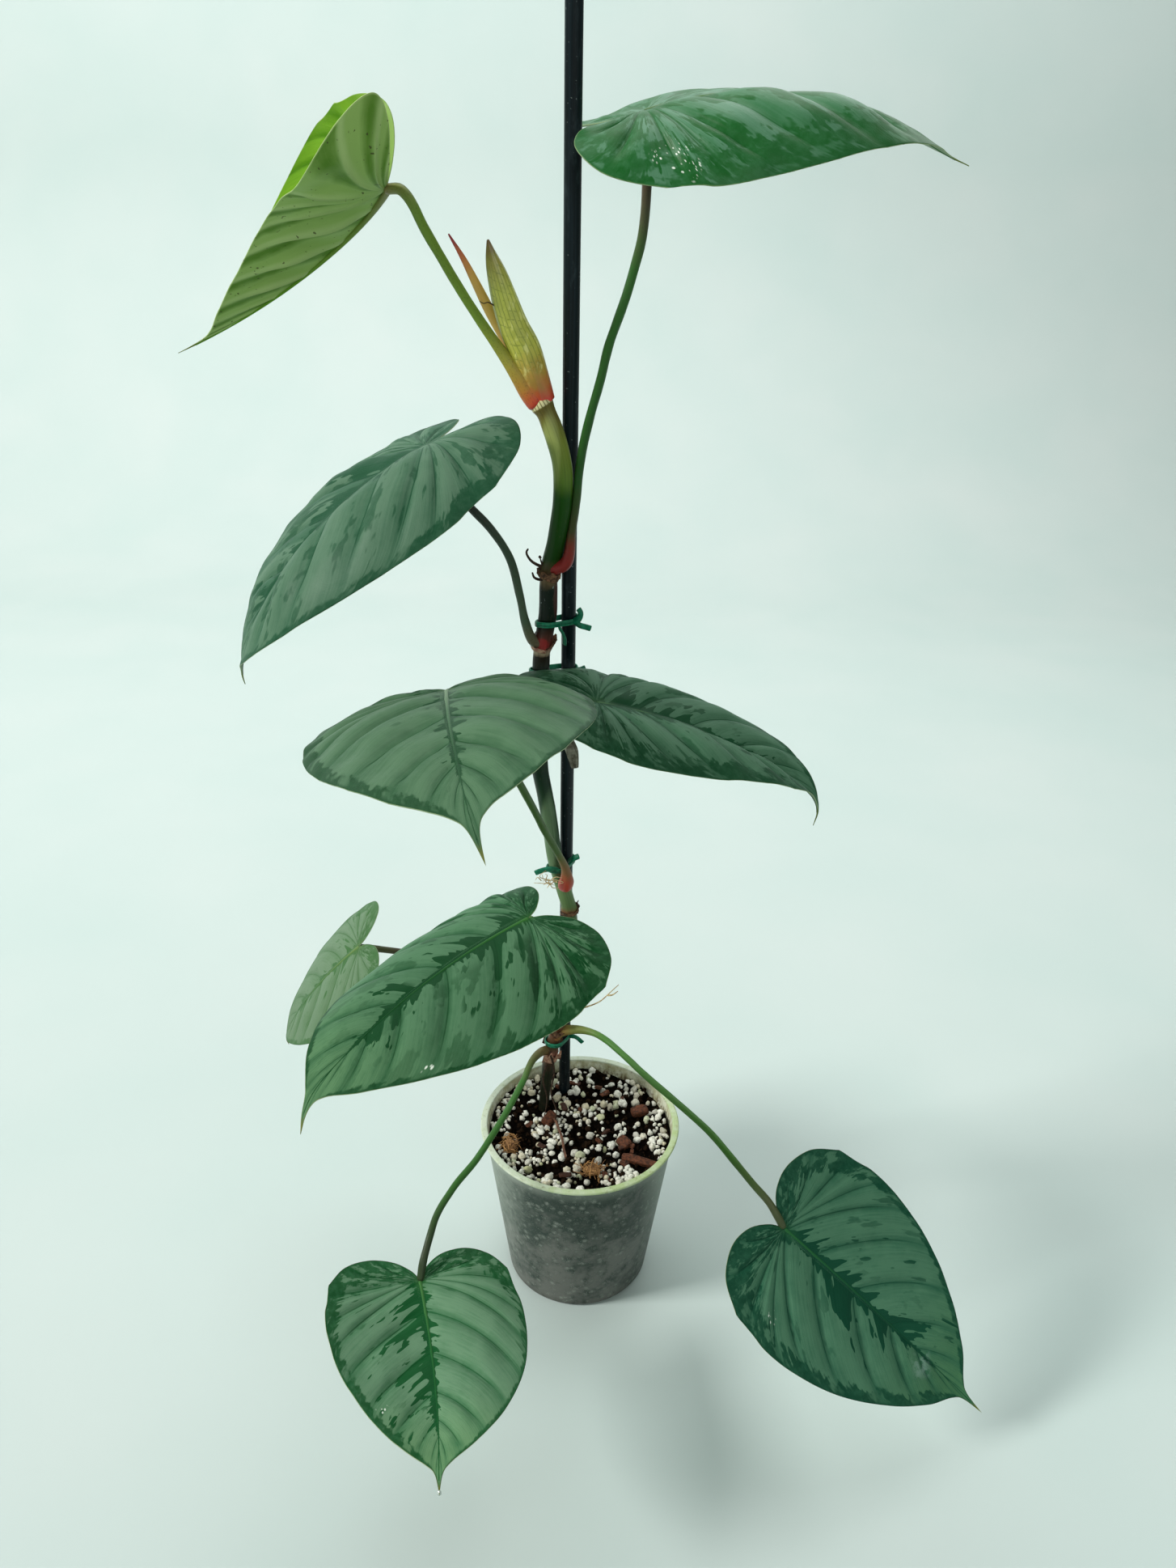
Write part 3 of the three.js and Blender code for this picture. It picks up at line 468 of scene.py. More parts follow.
class Graph:
    """A material and the nodes that feed its shader. Colours are given as picked on a screen."""

    def __init__(self, name, **uniform):
        self.material = bpy.data.materials.new(name)
        self.material.use_nodes = True
        self.tree = self.material.node_tree
        self.shader = self.tree.nodes["Principled BSDF"]
        for socket, value in {"Specular_IOR_Level": 0.2, **uniform}.items():
            self.shader.inputs[socket.replace("_", " ")].default_value = value

    def node(self, kind, inputs=(), **properties):
        node = self.tree.nodes.new(kind)
        for key, value in properties.items():
            setattr(node, key, value)
        for key, value in dict(inputs).items():
            self.put(node.inputs[key], value)
        return node

    def put(self, socket, value):
        if isinstance(value, Signal):
            self.tree.links.new(value.socket, socket)
        else:
            socket.default_value = srgb(*value) if isinstance(value, tuple) else value

    def parts(self, socket):
        node = self.node("ShaderNodeSeparateXYZ")
        self.tree.links.new(socket, node.inputs[0])
        return [Signal(self, part) for part in node.outputs]

    def attribute(self, name):
        """The three numbers that the mesh keeps under a name."""
        return self.parts(self.node("ShaderNodeAttribute", attribute_name=name).outputs["Vector"])

    def object_place(self):
        """The place in the object's own frame, in millimetres."""
        parts = self.parts(self.node("ShaderNodeTexCoord").outputs["Object"])
        return [part * (1 / MM) for part in parts]

    def vector(self, *parts):
        node = self.node("ShaderNodeCombineXYZ", dict(enumerate(parts)))
        return Signal(self, node.outputs[0])

    def noise(self, x, y, z, scale=1.0, detail=2.0, rough=0.5):
        place = self.vector(x, y, z)
        inputs = {"Vector": place, "Scale": scale, "Detail": detail, "Roughness": rough}
        return Signal(self, self.node("ShaderNodeTexNoise", inputs).outputs[0])

    def cells(self, x, y, z, scale=1.0):
        """Distance from the nearest of many scattered points."""
        inputs = {"Vector": self.vector(x, y, z), "Scale": scale}
        return Signal(self, self.node("ShaderNodeTexVoronoi", inputs).outputs["Distance"])

    def mix(self, share, first, second):
        node = self.node("ShaderNodeMix", data_type="RGBA")
        sockets = [s for s in node.inputs if s.type == "RGBA"]
        for socket, value in ((node.inputs[0], share), (sockets[0], first), (sockets[1], second)):
            self.put(socket, value)
        return Signal(self, next(s for s in node.outputs if s.type == "RGBA"))

    def ramp(self, share, stops):
        """A run of colours, each at its own share."""
        node = self.node("ShaderNodeValToRGB", {0: share})
        elements = node.color_ramp.elements
        while len(elements) < len(stops):
            elements.new(0.5)
        for element, (at, colour) in zip(elements, stops):
            element.position, element.color = at, srgb(*colour)
        return Signal(self, node.outputs[0])

    def finish(self, colour, rough=None, bump=None, depth=0.1):
        """Connects the shader. depth is the height of the bump in millimetres."""
        self.put(self.shader.inputs["Base Color"], colour)
        if rough is not None:
            self.put(self.shader.inputs["Roughness"], rough)
        if bump is not None:
            inputs = {"Height": bump, "Distance": depth * MM, "Strength": 1.0}
            normal = self.node("ShaderNodeBump", inputs).outputs[0]
            self.tree.links.new(normal, self.shader.inputs["Normal"])
        return self.material


def plain_material(name, colours, rough, bump, scale, **uniform):
    """Two colours in soft patches, with fine bumps."""
    g = Graph(name, **uniform)
    x, y, z = g.object_place()
    patch = g.noise(x, y, z, scale=scale, detail=4, rough=0.65)
    fine = g.noise(x, y, z, scale=scale * 5, detail=2)
    colour = g.mix(patch.step(0.3, 0.7), *colours)
    return g.finish(colour, fine * 0.2 + (rough - 0.1), patch + fine * 0.5, bump)


# Leaf blades

MIDRIB_STEP, MIDRIB_START = 0.001, 600  # share from sample to sample, and the sample at the joint
MIDRIB_SHARES = np.linspace(-0.6, 1.2, 1801)
HOOK_START, HOOK_SPAN = 0.86, 0.18
LOBE_ROWS = 10  # rows of the outline that lie on the lobe
LOBE_VEINS, VEINS = 0.5, 0.8  # side veins for each row, on the lobe and ahead of it
MOST_VEINS = 15
FINE = 8  # rows of the mesh for each row of the outline
COLUMNS = 30
BLADE_THICKNESS, EDGE_THICKNESS = 0.75, 0.4
RIDGE = (0.35, 0.8)  # height and half width of a side vein on the lower face
GROOVE = (0.14, 0.7)  # depth and half width of its groove on the upper face
WIDE_GAP = 20  # millimetres between side veins where the pads reach their full height
RIB_TO_EDGE = 20  # the midrib counts as this far from the edge


def outline_at(row):
    """The half outline at rows from the joint, 0, to the tip."""
    last = len(HALF_OUTLINE) - 1
    t = np.asarray(row, float) / ROWS * last
    i = np.minimum(t.astype(int), last - 1)
    f = (t - i)[..., None]
    p0, p1, p2, p3 = (HALF_OUTLINE[np.clip(i + k, 0, last)] for k in (-1, 0, 1, 2))
    v0, v1 = (p2 - p0) / 2, (p3 - p1) / 2
    cubic, square = 2 * p1 - 2 * p2 + v0 + v1, -3 * p1 + 3 * p2 - 2 * v0 - v1
    return cubic * f**3 + square * f**2 + v0 * f + p1


def vein_rate(row):
    return np.where(row < LOBE_ROWS, LOBE_VEINS, VEINS)


def vein_phase(row):
    """Grows by one from side vein to side vein."""
    lobe = LOBE_ROWS * LOBE_VEINS
    return np.where(row < LOBE_ROWS, LOBE_VEINS * row, lobe + VEINS * (row - LOBE_ROWS))


class Blade:
    """The middle surface of one blade, the same as in the CAD part."""

    def __init__(self, spec):
        self.spec = spec
        heading, pitch, roll = np.radians([spec["heading"], spec["pitch"], spec["roll"]])
        level, rise = math.cos(pitch), math.sin(pitch)
        self.ahead = np.array([math.cos(heading) * level, math.sin(heading) * level, rise])
        sideways = unit(np.cross(self.ahead, (0, 0, 1)))
        raised = np.cross(sideways, self.ahead)
        self.right = sideways * math.cos(roll) - raised * math.sin(roll)
        self.up = np.cross(self.right, self.ahead)
        bend = np.where(MIDRIB_SHARES > 0, spec["bends"][0], spec["bends"][1])
        hooked = np.clip((MIDRIB_SHARES - HOOK_START) / HOOK_SPAN, 0, 1) ** 2
        self.slopes = -np.radians(bend) * MIDRIB_SHARES - math.radians(spec["hook"]) * hooked
        self.runs = []
        for f in (np.cos(self.slopes), np.sin(self.slopes)):
            run = np.concatenate([[0], np.cumsum((f[1:] + f[:-1]) / 2)]) * MIDRIB_STEP
            self.runs.append(run - run[MIDRIB_START])

    def midrib(self, a):
        """Place and upward direction on the midrib at shares of the length."""
        along, up, slope = (np.interp(a, MIDRIB_SHARES, f) for f in (*self.runs, self.slopes))
        sway = math.radians(self.spec["sweep"]) * a * a / 2
        place = along[..., None] * self.ahead + up[..., None] * self.up
        place = place + sway[..., None] * self.right
        rib_up = -np.sin(slope)[..., None] * self.ahead + np.cos(slope)[..., None] * self.up
        return np.array(self.spec["joint"]) + self.spec["length"] * place, rib_up

    def crest(self, rib_up):
        """The direction halfway between the upper faces of both halves, along the midrib."""
        left, right = np.radians(self.spec["folds"])
        lean = math.sin(right) - math.sin(left)
        return unit(lean * self.right + (math.cos(left) + math.cos(right)) * rib_up)

    def edge_at(self, row):
        """How far across and along the flat blade its edge lies, in blade lengths."""
        across, along = np.moveaxis(outline_at(row), -1, 0)
        along = np.where(along < 0, along * self.spec["lobe"], along)
        return across * self.spec["half_width"], along

    def at(self, side, row, v):
        """Points, normals and the flat place, in blade lengths, for rows and shares v across."""
        spec, half = self.spec, 0 if side < 0 else 1
        across, along = self.edge_at(row)
        start = np.clip((along - FIRST_VEIN) / (TIP - FIRST_VEIN), 0, 1) ** VEIN_CROWDING
        bow = 1 - np.sqrt(np.maximum(0, 1 - v * v))
        run = (1 - VEIN_UPTURN) * v**VEIN_SWEEP + VEIN_UPTURN * bow
        d, a = across * v, start + (along - start) * run
        fold = math.radians(spec["folds"][half])
        curl = math.radians(spec["curls"][half]) / spec["half_width"]
        slope = fold + curl * d
        if curl:
            x = (np.sin(slope) - math.sin(fold)) / curl
            z = (np.cos(slope) - math.cos(fold)) / curl
        else:
            x, z = math.cos(fold) * d, -math.sin(fold) * d
        centre, rib_up = self.midrib(a)
        sideways = (side * x)[..., None] * self.right
        place = centre + spec["length"] * (sideways + z[..., None] * rib_up)
        normal = (side * np.sin(slope))[..., None] * self.right + np.cos(slope)[..., None] * rib_up
        flank = smoothstep(v, 0, 0.06)[..., None]
        normal = unit(flank * normal + (1 - flank) * self.crest(rib_up))
        return place, normal, d, a


def row_spacing(lines):
    """Millimetres from one row of the outline to the next, at each point."""
    return np.linalg.norm(np.gradient(lines, axis=0), axis=-1) * FINE


def blade_lift(pads, strength, row, share, full, flat, seed):
    """How far a blade rises: pads and minor folds between the veins, swells and a waved edge."""
    phase = vein_phase(row)
    pad = np.abs(np.sin(np.pi * phase)) ** 0.7 * strength[phase.astype(int)]
    minor = np.abs(np.sin(2 * np.pi * phase)) ** 0.8
    width = np.minimum(1, 2.5 * outline_at(row)[..., 0])
    opening = np.sin(np.pi * (0.06 + 0.8 * share)) * smoothstep(share, 0, 0.12)
    opening = opening * (1 - 0.8 * smoothstep(share, 0.7, 1))
    lift = (0.6 * (2 * pad - 1) + 0.13 * (minor - 0.6)) * pads * opening * width * full
    lift += 0.3 * pads * soft_noise(flat / 14, seed) * smoothstep(share, 0, 0.3) * width
    lift += 0.45 * soft_noise(flat / 19 + 40, seed) * share**4 * width
    return lift


def half_blade(blade, side, row, share, pads, strength, seed):
    """The upper and lower points of one half, and what the materials read there."""
    length, phase = blade.spec["length"], vein_phase(row)
    centre, normal, d, a = blade.at(side, row + 0 * share, share)
    full = np.minimum(1, row_spacing(centre) / vein_rate(row) / WIDE_GAP) ** 1.3
    flat = np.stack([side * d * length, a * length, 0 * d + seed], -1)
    centre = centre + normal * blade_lift(pads, strength, row, share, full, flat, seed)[..., None]
    vein_mm = np.abs(phase - np.round(phase)) * row_spacing(centre) / vein_rate(row)
    edge_line = np.stack(blade.edge_at(np.linspace(0, ROWS, 400)), -1)
    offsets = np.stack([d, a], -1).reshape(-1, 1, 2) - edge_line[None]
    edge_mm = np.linalg.norm(offsets, axis=-1).min(axis=1).reshape(d.shape) * length
    data = dict(
        vein=[row, share, vein_mm],
        place=[d * length, edge_mm, a],
        flat=[side * d * length, a * length, np.full(d.shape, float(side < 0))],
        # pad: the side and the crown of each pad, and how full it is; the materials use these for
        # painted shade.
        pad=[np.sin(2 * np.pi * phase), np.abs(np.sin(np.pi * phase)), full],
    )
    half = (BLADE_THICKNESS + (EDGE_THICKNESS - BLADE_THICKNESS) * share**2) / 2
    width = np.minimum(1, 2.5 * outline_at(row)[..., 0])
    ridge, groove = (
        height * np.exp(-(vein_mm / reach) ** 2) * (1 - share**2) * width
        for height, reach in (RIDGE, GROOVE)
    )
    upper = centre + normal * (half - groove)[..., None]
    lower = centre - normal * (half + ridge)[..., None]
    return upper, lower, {key: np.stack(values, -1) for key, values in data.items()}


def blade_shape(spec, pads, seed):
    """A closed blade: raised pads between sunken veins, a waved edge, and the midrib."""
    blade, shape = Blade(spec), Shape()
    random = np.random.default_rng(seed)
    rows = np.linspace(0, ROWS, ROWS * FINE + 1)[:, None]
    row, share = np.broadcast_arrays(rows, np.sin(np.linspace(0, np.pi / 2, COLUMNS + 1))[None])
    lines, columns = row.shape
    under = lines * columns  # the lower points follow the upper ones
    for side in (-1, 1):
        strength = 1 + 0.3 * random.uniform(-1, 1, MOST_VEINS)
        upper, lower, data = half_blade(blade, side, row, share, pads, strength, seed)
        top = np.array(grid_faces(lines, columns))
        bottom = top[:, ::-1] + under
        rim = np.arange(lines) * columns + columns - 1
        band = np.stack([rim[:-1], rim[1:], rim[1:] + under, rim[:-1] + under], -1)
        if side < 0:
            top, bottom = top[:, ::-1], bottom[:, ::-1]
        else:
            band = band[:, ::-1]
        both = np.concatenate([upper.reshape(-1, 3), lower.reshape(-1, 3)])
        doubled = {key: np.concatenate([value, value]) for key, value in data.items()}
        shape.add(both, top.tolist(), 0, **doubled)
        shape.count -= len(both)
        for faces in (bottom, band):
            shape.add(np.zeros((0, 3)), faces.tolist(), 1)
        shape.count += len(both)
    weld(shape)
    add_midrib(shape, blade, spec)
    return shape


def weld(shape):
    """Joins the points that lie on each other and drops the faces that this empties."""
    points = np.vstack(shape.points)
    _, first, same = np.unique(np.round(points, 3), axis=0, return_index=True, return_inverse=True)
    same = same.ravel()
    shape.points = [points[first]]
    shape.data = {key: [np.vstack(values)[first]] for key, values in shape.data.items()}
    faces, slots = [], []
    for face, slot in zip(shape.faces, shape.slots):
        corners = list(dict.fromkeys(same[i] for i in face))
        if len(corners) > 2:
            faces.append([int(i) for i in corners])
            slots.append(slot)
    shape.faces, shape.slots, shape.count = faces, slots, len(first)


def add_midrib(shape, blade, spec):
    a = np.linspace(0.0, 1.02, 90)
    place, rib_up = blade.midrib(a)
    taper = np.clip(1 - a, 0, 1)
    wide = 0.4 + 1.3 * taper
    deep = 1.15 * wide
    above = BLADE_THICKNESS / 2 + 0.08 + 0.4 * taper
    centres = place + blade.crest(rib_up) * (above - deep)[:, None]
    tube(shape, centres, wide, deep, sides=12, across=blade.right, slot=2)
    share = shape.data.pop("tube")[0][:, 0]
    blank = np.zeros(len(share))
    shape.data["vein"].append(np.stack([blank, blank, blank], -1))
    shape.data["place"].append(np.stack([blank, blank + RIB_TO_EDGE, share], -1))
    shape.data["flat"].append(np.stack([blank, share * spec["length"], blank], -1))
    shape.data["pad"].append(np.stack([blank, blank, blank], -1))


# Leaf materials

OTHER_HALF = 37.0  # gives the left half of a blade its own part of the noise


def leaf_upper(name, look):
    """Silver-green face with dark feathers along the midrib, mottled margins and fine veins."""
    g = Graph(name, Specular_IOR_Level=look.gloss)
    row, v, vein_mm = g.attribute("vein")
    rib_mm, edge_mm, share = g.attribute("place")
    across, along, left = g.attribute("flat")
    sway, crown, full = g.attribute("pad")
    lane, seed = row + left * OTHER_HALF, look.seed

    def halves(pair):
        """The first of a pair on the left half, and the second on the right."""
        return left * (pair[0] - pair[1]) + pair[1]

    def streaks(often, long, shift=0.0, detail=2, rough=0.5):
        """Noise drawn out along the side veins."""
        return g.noise(lane * often, v * long, seed + shift, detail=detail, rough=rough)

    fine = streaks(15.0, 3.0, 3.0)
    patch = g.noise(across, along, seed, scale=0.09, detail=3, rough=0.6)
    fleck = g.noise(across * 1.3, along, seed + 9.0, scale=0.24, detail=3, rough=0.6)
    # Dark feathers: clusters of teeth that leave the midrib along the side veins, and loose bits
    cluster = streaks(look.clump, 0.6, 5.0, 1).step(0.42 - look.dense, 0.6 - look.dense)
    teeth = streaks(look.teeth, 1.2).step(0.42, 0.68)
    fringe = streaks(7.0, 3.0, 13.0, 1).step(0.4, 0.7)
    reach = halves(look.feather)
    window = row.step(look.start - 1.2, look.start + 1.2)
    window = window * row.until(look.stop - 1.3, look.stop + 1.3)
    length = reach * window * (cluster * (teeth * 0.85 + 0.1) + fringe * 0.16)
    feather = (length - v).step(-0.004, 0.006)
    torn = streaks(4.2, 4.0, 17.0).step(0.61, 0.64)
    torn = torn * (reach * window * 1.5 - v).step(0.0, 0.08) * cluster
    wide = window * halves(look.spine) * (cluster * 0.6 + 0.4)
    spine = (wide + (fine - 0.5) * 2.0 - rib_mm).step(-0.5, 0.2)
    dark = feather.most(torn).most(spine * share.step(0.02, 0.1))
    # Mottled margins, and loose patches drawn out along the veins
    ragged = streaks(2.6, 1.2, 31.0).peak(3.5)
    deep = row.until(6.0, 12.5) * look.lobes + halves(look.margin) * row.until(15.0, 18.5)
    band = deep * (patch * 1.8 + ragged * 0.9 - 0.55)
    margin = (band - edge_mm).step(-0.8, 0.8)
    silver_patch = streaks(1.5, 6.0, 41.0, 3, 0.6).step(0.5, 0.6)
    margin = margin * (1.0 - silver_patch * edge_mm.step(0.4, 2.0) * 0.85)
    loose = streaks(1.7, 2.4, 21.0, 3, 0.6)
    blotch = loose.step(0.63 - look.blotch, 0.67 - look.blotch) * v.step(0.1, 0.3)
    blotch = blotch * (1.0 - row.step(9.0, 16.0) * look.calm) * look.soft
    mottle = (margin * 0.9).most(blotch)
    # Colours
    silver = g.mix(share.step(0.5, 1.05) * 0.8, look.silver, look.tip)
    # Darker near the veins and lighter on the pad crowns: partly the silver's own pattern, partly
    # painted shade of the pad relief. The sway term and the stripes darken the side of each pad
    # just past a vein: painted shade.
    near_vein = vein_mm.until(0.4, 4.5) * full
    shade = near_vein * 0.35 + crown * -0.3 + sway * 0.12 + fine + patch * 0.9
    shade = shade + sway.step(-0.2, 0.7) * full * halves(look.stripes)
    silver = g.mix(shade - 0.57, silver, look.deep)
    mid_dark = g.mix(fleck.step(0.35, 0.75) * 0.7, look.dark, look.dark_light)
    colour = g.mix(mottle, silver, mid_dark)
    colour = g.mix(dark, colour, g.mix(fine * 0.4, look.dark, look.dark_light))
    line = vein_mm.until(0.2, 0.65) * v.until(0.72, 1.0) * look.lines
    line = line * row.step(9.0, 10.5).most(v.step(0.1, 0.5))
    colour = g.mix(line, colour, look.dark)
    colour = g.mix(share.until(0.0, 0.1) * rib_mm.until(1.5, 5.0) * 0.3, colour, look.rib)
    colour = g.mix(edge_mm.until(0.12, 0.5), colour, look.edge)
    colour = g.mix(share.step(1.02, 1.06), colour, (104, 110, 52))
    if look.shaded_lobe:
        colour = g.mix(row.until(3.5, 7.0), colour, look.under)
    # Pale dust, and white spots that are painted glints.
    for at_share, at_mm, size, painted_glint in look.marks:
        gap = ((share - at_share) * (look.length / size)).math("ABSOLUTE")
        gap = gap + ((across - at_mm) * (1 / size)).math("ABSOLUTE")
        if painted_glint:
            painted_glint_spots = g.cells(lane * 6.0, v * 22.0, seed).until(0.16, 0.3)
            colour = g.mix(painted_glint_spots * gap.until(0.6, 1.3), colour, (226, 236, 222))
        else:
            pale = gap.until(0.3, 1.5) * fleck.step(0.42, 0.6)
            colour = g.mix(pale * 0.4, colour, (150, 178, 168))
    grain = g.noise(across, along, seed, scale=1.5)
    rough = fleck * 0.16 + look.rough - dark * 0.05
    return g.finish(colour, rough, fine * 0.6 + grain * 0.4 + line * -0.6, 0.16)


def leaf_under(name, look):
    """Paler face with raised, light side veins, and painted light and shade in bands across the
    pads.
    """
    g = Graph(name, Specular_IOR_Level=0.12)
    row, v, vein_mm = g.attribute("vein")
    _, edge_mm, share = g.attribute("place")
    across, along, left = g.attribute("flat")
    sway, _, full = g.attribute("pad")
    seed = look.seed
    fine = g.noise((row + left * OTHER_HALF) * 12.0, v * 3.0, seed, detail=3)
    patch = g.noise(across, along, seed, scale=0.1, detail=3)
    # The sway term darkens one side of each pad: painted shade.
    shade = (patch - 0.4) * 1.3 + fine * 0.2 + sway * look.bands + 0.1
    colour = g.mix(shade, look.under, look.under_dark)
    near_vein = vein_mm.until(0.3, 4.0) * full
    # Pale beside the veins, more so on one side of each: partly the veins' own colour, partly
    # painted light.
    colour = g.mix(near_vein * (sway * -0.45 + (look.bands + 0.15)), colour, look.under_vein)
    line = vein_mm.until(0.2, 0.9) * v.until(0.75, 1.0)
    colour = g.mix(line * 0.4, colour, look.under_vein)
    colour = g.mix(edge_mm.until(0.1, 0.7), colour, look.under_edge)
    specks = g.noise(across, along, seed + 2.0, scale=0.5, detail=1).step(0.72, 0.75)
    colour = g.mix(specks * 0.8, colour, (62, 60, 34))
    colour = g.mix(share.step(0.985, 1.02), colour, (105, 120, 50))
    bump = fine * 0.7 + g.noise(across, along, seed, scale=1.4) * 0.4
    return g.finish(colour, fine * 0.1 + 0.42, bump, 0.14)


def leaf_rib(name, look):
    """Midrib: light green at the joint, darker towards the tip."""
    g = Graph(name, Specular_IOR_Level=0.12, Roughness=0.42)
    share, along = g.attribute("place")[2], g.attribute("flat")[1]
    grain = g.noise(along, 0.0, look.seed, scale=0.5, detail=3)
    stops = [(0.0, look.rib), (0.3, look.rib_mid), (0.65, look.rib_end)]
    return g.finish(g.ramp(share + (grain - 0.5) * 0.1, stops), None, grain, 0.1)


# Pairs give the left half of a blade and then the right, seen from above with the tip ahead.
COMMON_LOOK = dict(
    feather=(0.3, 0.3),  # reach of the dark feathers, as a share of the way to the edge
    start=10.8, stop=16.5,  # rows of the outline between which they stand
    spine=(2.0, 2.0),  # half width of the dark line along the midrib, in millimetres
    teeth=2.4, clump=1.5, dense=0.0,  # how often teeth and clusters come, and how full they are
    margin=(3, 3), lobes=8.0,  # depth of the mottled margin ahead and on the lobes, in millimetres
    blotch=0.0, calm=0.8, soft=1.0,  # loose patches: how many, how few towards the tip, how dark
    stripes=(0, 0), lines=0.6,  # strength of the broad bands of painted shade on one side of each vein, and of the fine dark vein lines
    rough=0.4, gloss=0.08,
    rib=(92, 126, 72), edge=(80, 104, 74),
    under=(104, 132, 98), under_deep=(52, 92, 50), bands=0.4,  # the lower face, and the strength of the painted light and shade in bands along its veins
    marks=(),  # pale dust marks and painted glints: share along, millimetres across, size, and whether it is a painted glint
    shaded_lobe=False,
)


def look(number, silver, dark, **own):
    """The looks of one leaf, with the colours that follow from its own."""
    made = SimpleNamespace(**{"tip": silver, **COMMON_LOOK, **own})
    made.seed, made.length = float(number), LEAVES["leaf_%d" % number]["length"]
    made.silver, made.dark = silver, dark
    made.deep, made.dark_light = mixed(silver, dark, 0.5), mixed(dark, silver, 0.4)
    made.rib_mid, made.rib_end = mixed(made.rib, dark, 0.5), mixed(made.rib, dark, 0.85)
    made.under_dark = mixed(made.under, made.under_deep, 0.6)
    made.under_vein = mixed(made.under, (186, 204, 150), 0.45)
    made.under_edge = mixed(made.under, (200, 212, 160), 0.4)
    return made


LOOKS = {
    # Leaf 1 is young and yellow-green; its upper face is also made brighter to stand in for light
    # shining through it, which is painted light.
    "leaf_1": look(
        1, (136, 182, 50), (90, 146, 34), lobes=0.0, feather=(0.03, 0.03), margin=(0, 0),
        blotch=-0.2, lines=0.3, rib=(112, 114, 62), edge=(150, 178, 90), under=(138, 170, 92),
        under_deep=(46, 92, 2), spine=(0.3, 0.3), shaded_lobe=True, bands=0.7,
    ),
    "leaf_2": look(
        2, (82, 128, 98), (18, 86, 30), tip=(88, 138, 86), lobes=13, margin=(4, 15), blotch=0.12,
        feather=(0.3, 0.4), rough=0.34, gloss=0.16, edge=(110, 140, 90), calm=0.2, dense=0.06,
        stripes=(0.2, 0.35), marks=((0.03, 44, 9, True), (0.08, 52, 6, True)),
    ),
    "leaf_3": look(
        3, (84, 116, 93), (24, 72, 46), tip=(78, 112, 86), lobes=9, margin=(3, 2), blotch=0.07,
        feather=(0.24, 0.75), rib=(104, 134, 112), calm=0.1, soft=0.75, stripes=(0.15, 1.0),
        lines=0.8, dense=0.14, teeth=3.4, stop=18,
    ),
    "leaf_4": look(
        4, (78, 110, 82), (12, 58, 26), tip=(74, 108, 78), lobes=5, margin=(2, 6), blotch=-0.02,
        feather=(0.2, 0.24), rib=(112, 138, 104), spine=(1.8, 1.8), start=12, stop=17, dense=0.05,
        stripes=(0.25, 0.15), teeth=3.4, lines=0.75,
    ),
    "leaf_5": look(
        5, (76, 114, 88), (16, 64, 36), lobes=9, margin=(4, 9), blotch=0.06, feather=(0.36, 0.45),
        rib=(70, 112, 68), dense=0.08, clump=1.1, teeth=3.0, lines=0.85,
    ),
    "leaf_6": look(
        6, (78, 118, 86), (8, 60, 26), tip=(88, 128, 86), lobes=13, margin=(3, 3), blotch=0.1,
        feather=(0.5, 0.42), edge=(112, 134, 92), rib=(58, 112, 50), spine=(2.6, 3.0), clump=1.1,
        dense=0.05, marks=((0.68, -43, 6, True),),
    ),
    "leaf_7": look(
        7, (100, 126, 98), (58, 98, 54), tip=(94, 120, 88), lobes=6, feather=(0.4, 0.4),
        rib=(96, 124, 70),
    ),
    "leaf_8": look(
        8, (108, 146, 114), (10, 78, 34), tip=(106, 148, 98), lobes=10, margin=(2, 5),
        blotch=-0.01, feather=(0.12, 0.66), edge=(60, 74, 50), rib=(66, 116, 60),
        spine=(0.2, 2.2), soft=0.7, dense=0.14, teeth=3.3, clump=1.9, start=11.4, stop=16.8,
        marks=((0.653, 30, 4, True),),
    ),
    "leaf_9": look(
        9, (76, 120, 93), (6, 62, 42), tip=(64, 110, 70), lobes=10, margin=(3, 7), blotch=0.03,
        feather=(0.75, 0.55), edge=(60, 74, 52), rib=(40, 100, 54), spine=(1.6, 2.2), soft=0.7,
        clump=0.95, dense=0.04, start=12, stop=17.4,
        marks=((0.76, 6, 9, False), (0.12, 47, 5, True)),
    ),
}
PADS = dict(  # how far the pads rise between the veins
    leaf_1=3.2, leaf_2=2.8, leaf_3=2.8, leaf_4=3.2, leaf_5=2.8, leaf_6=2.4, leaf_7=1.5,
    leaf_8=2.0, leaf_9=1.9,
)


def leaf_slot(name):
    return "new_leaf" if name == "leaf_1" else "leaf"


def build_drop(spec):
    """The water drop that hangs from the tip of a leaf."""
    shape = Shape()
    place, _ = Blade(spec).midrib(np.array([TIP - 0.015]))
    centre, radii = place[0] + (0, 0, -1.0), (1.1, 1.1, 1.6)
    pebble(shape, centre, radii, (0, 0), np.random.default_rng(1), 0.04, 3)
    g = Graph("water_drop", Roughness=0.08, Specular_IOR_Level=0.5)
    soft = g.noise(*g.object_place(), scale=0.6)
    colour = g.mix(soft, (206, 214, 208), (150, 166, 156))
    shape.build("leaf_8_drop", [g.finish(colour)], "leaf")


for name, spec in LEAVES.items():
    own = LOOKS[name]
    faces = (("_upper", leaf_upper), ("_under", leaf_under), ("_rib", leaf_rib))
    shades = [make(name + part, own) for part, make in faces]
    shape = blade_shape(spec, PADS[name], int(own.seed))
    shape.build(name + "_blade", shades, leaf_slot(name), [name])

build_drop(LEAVES["leaf_8"])


# Leaf stalks

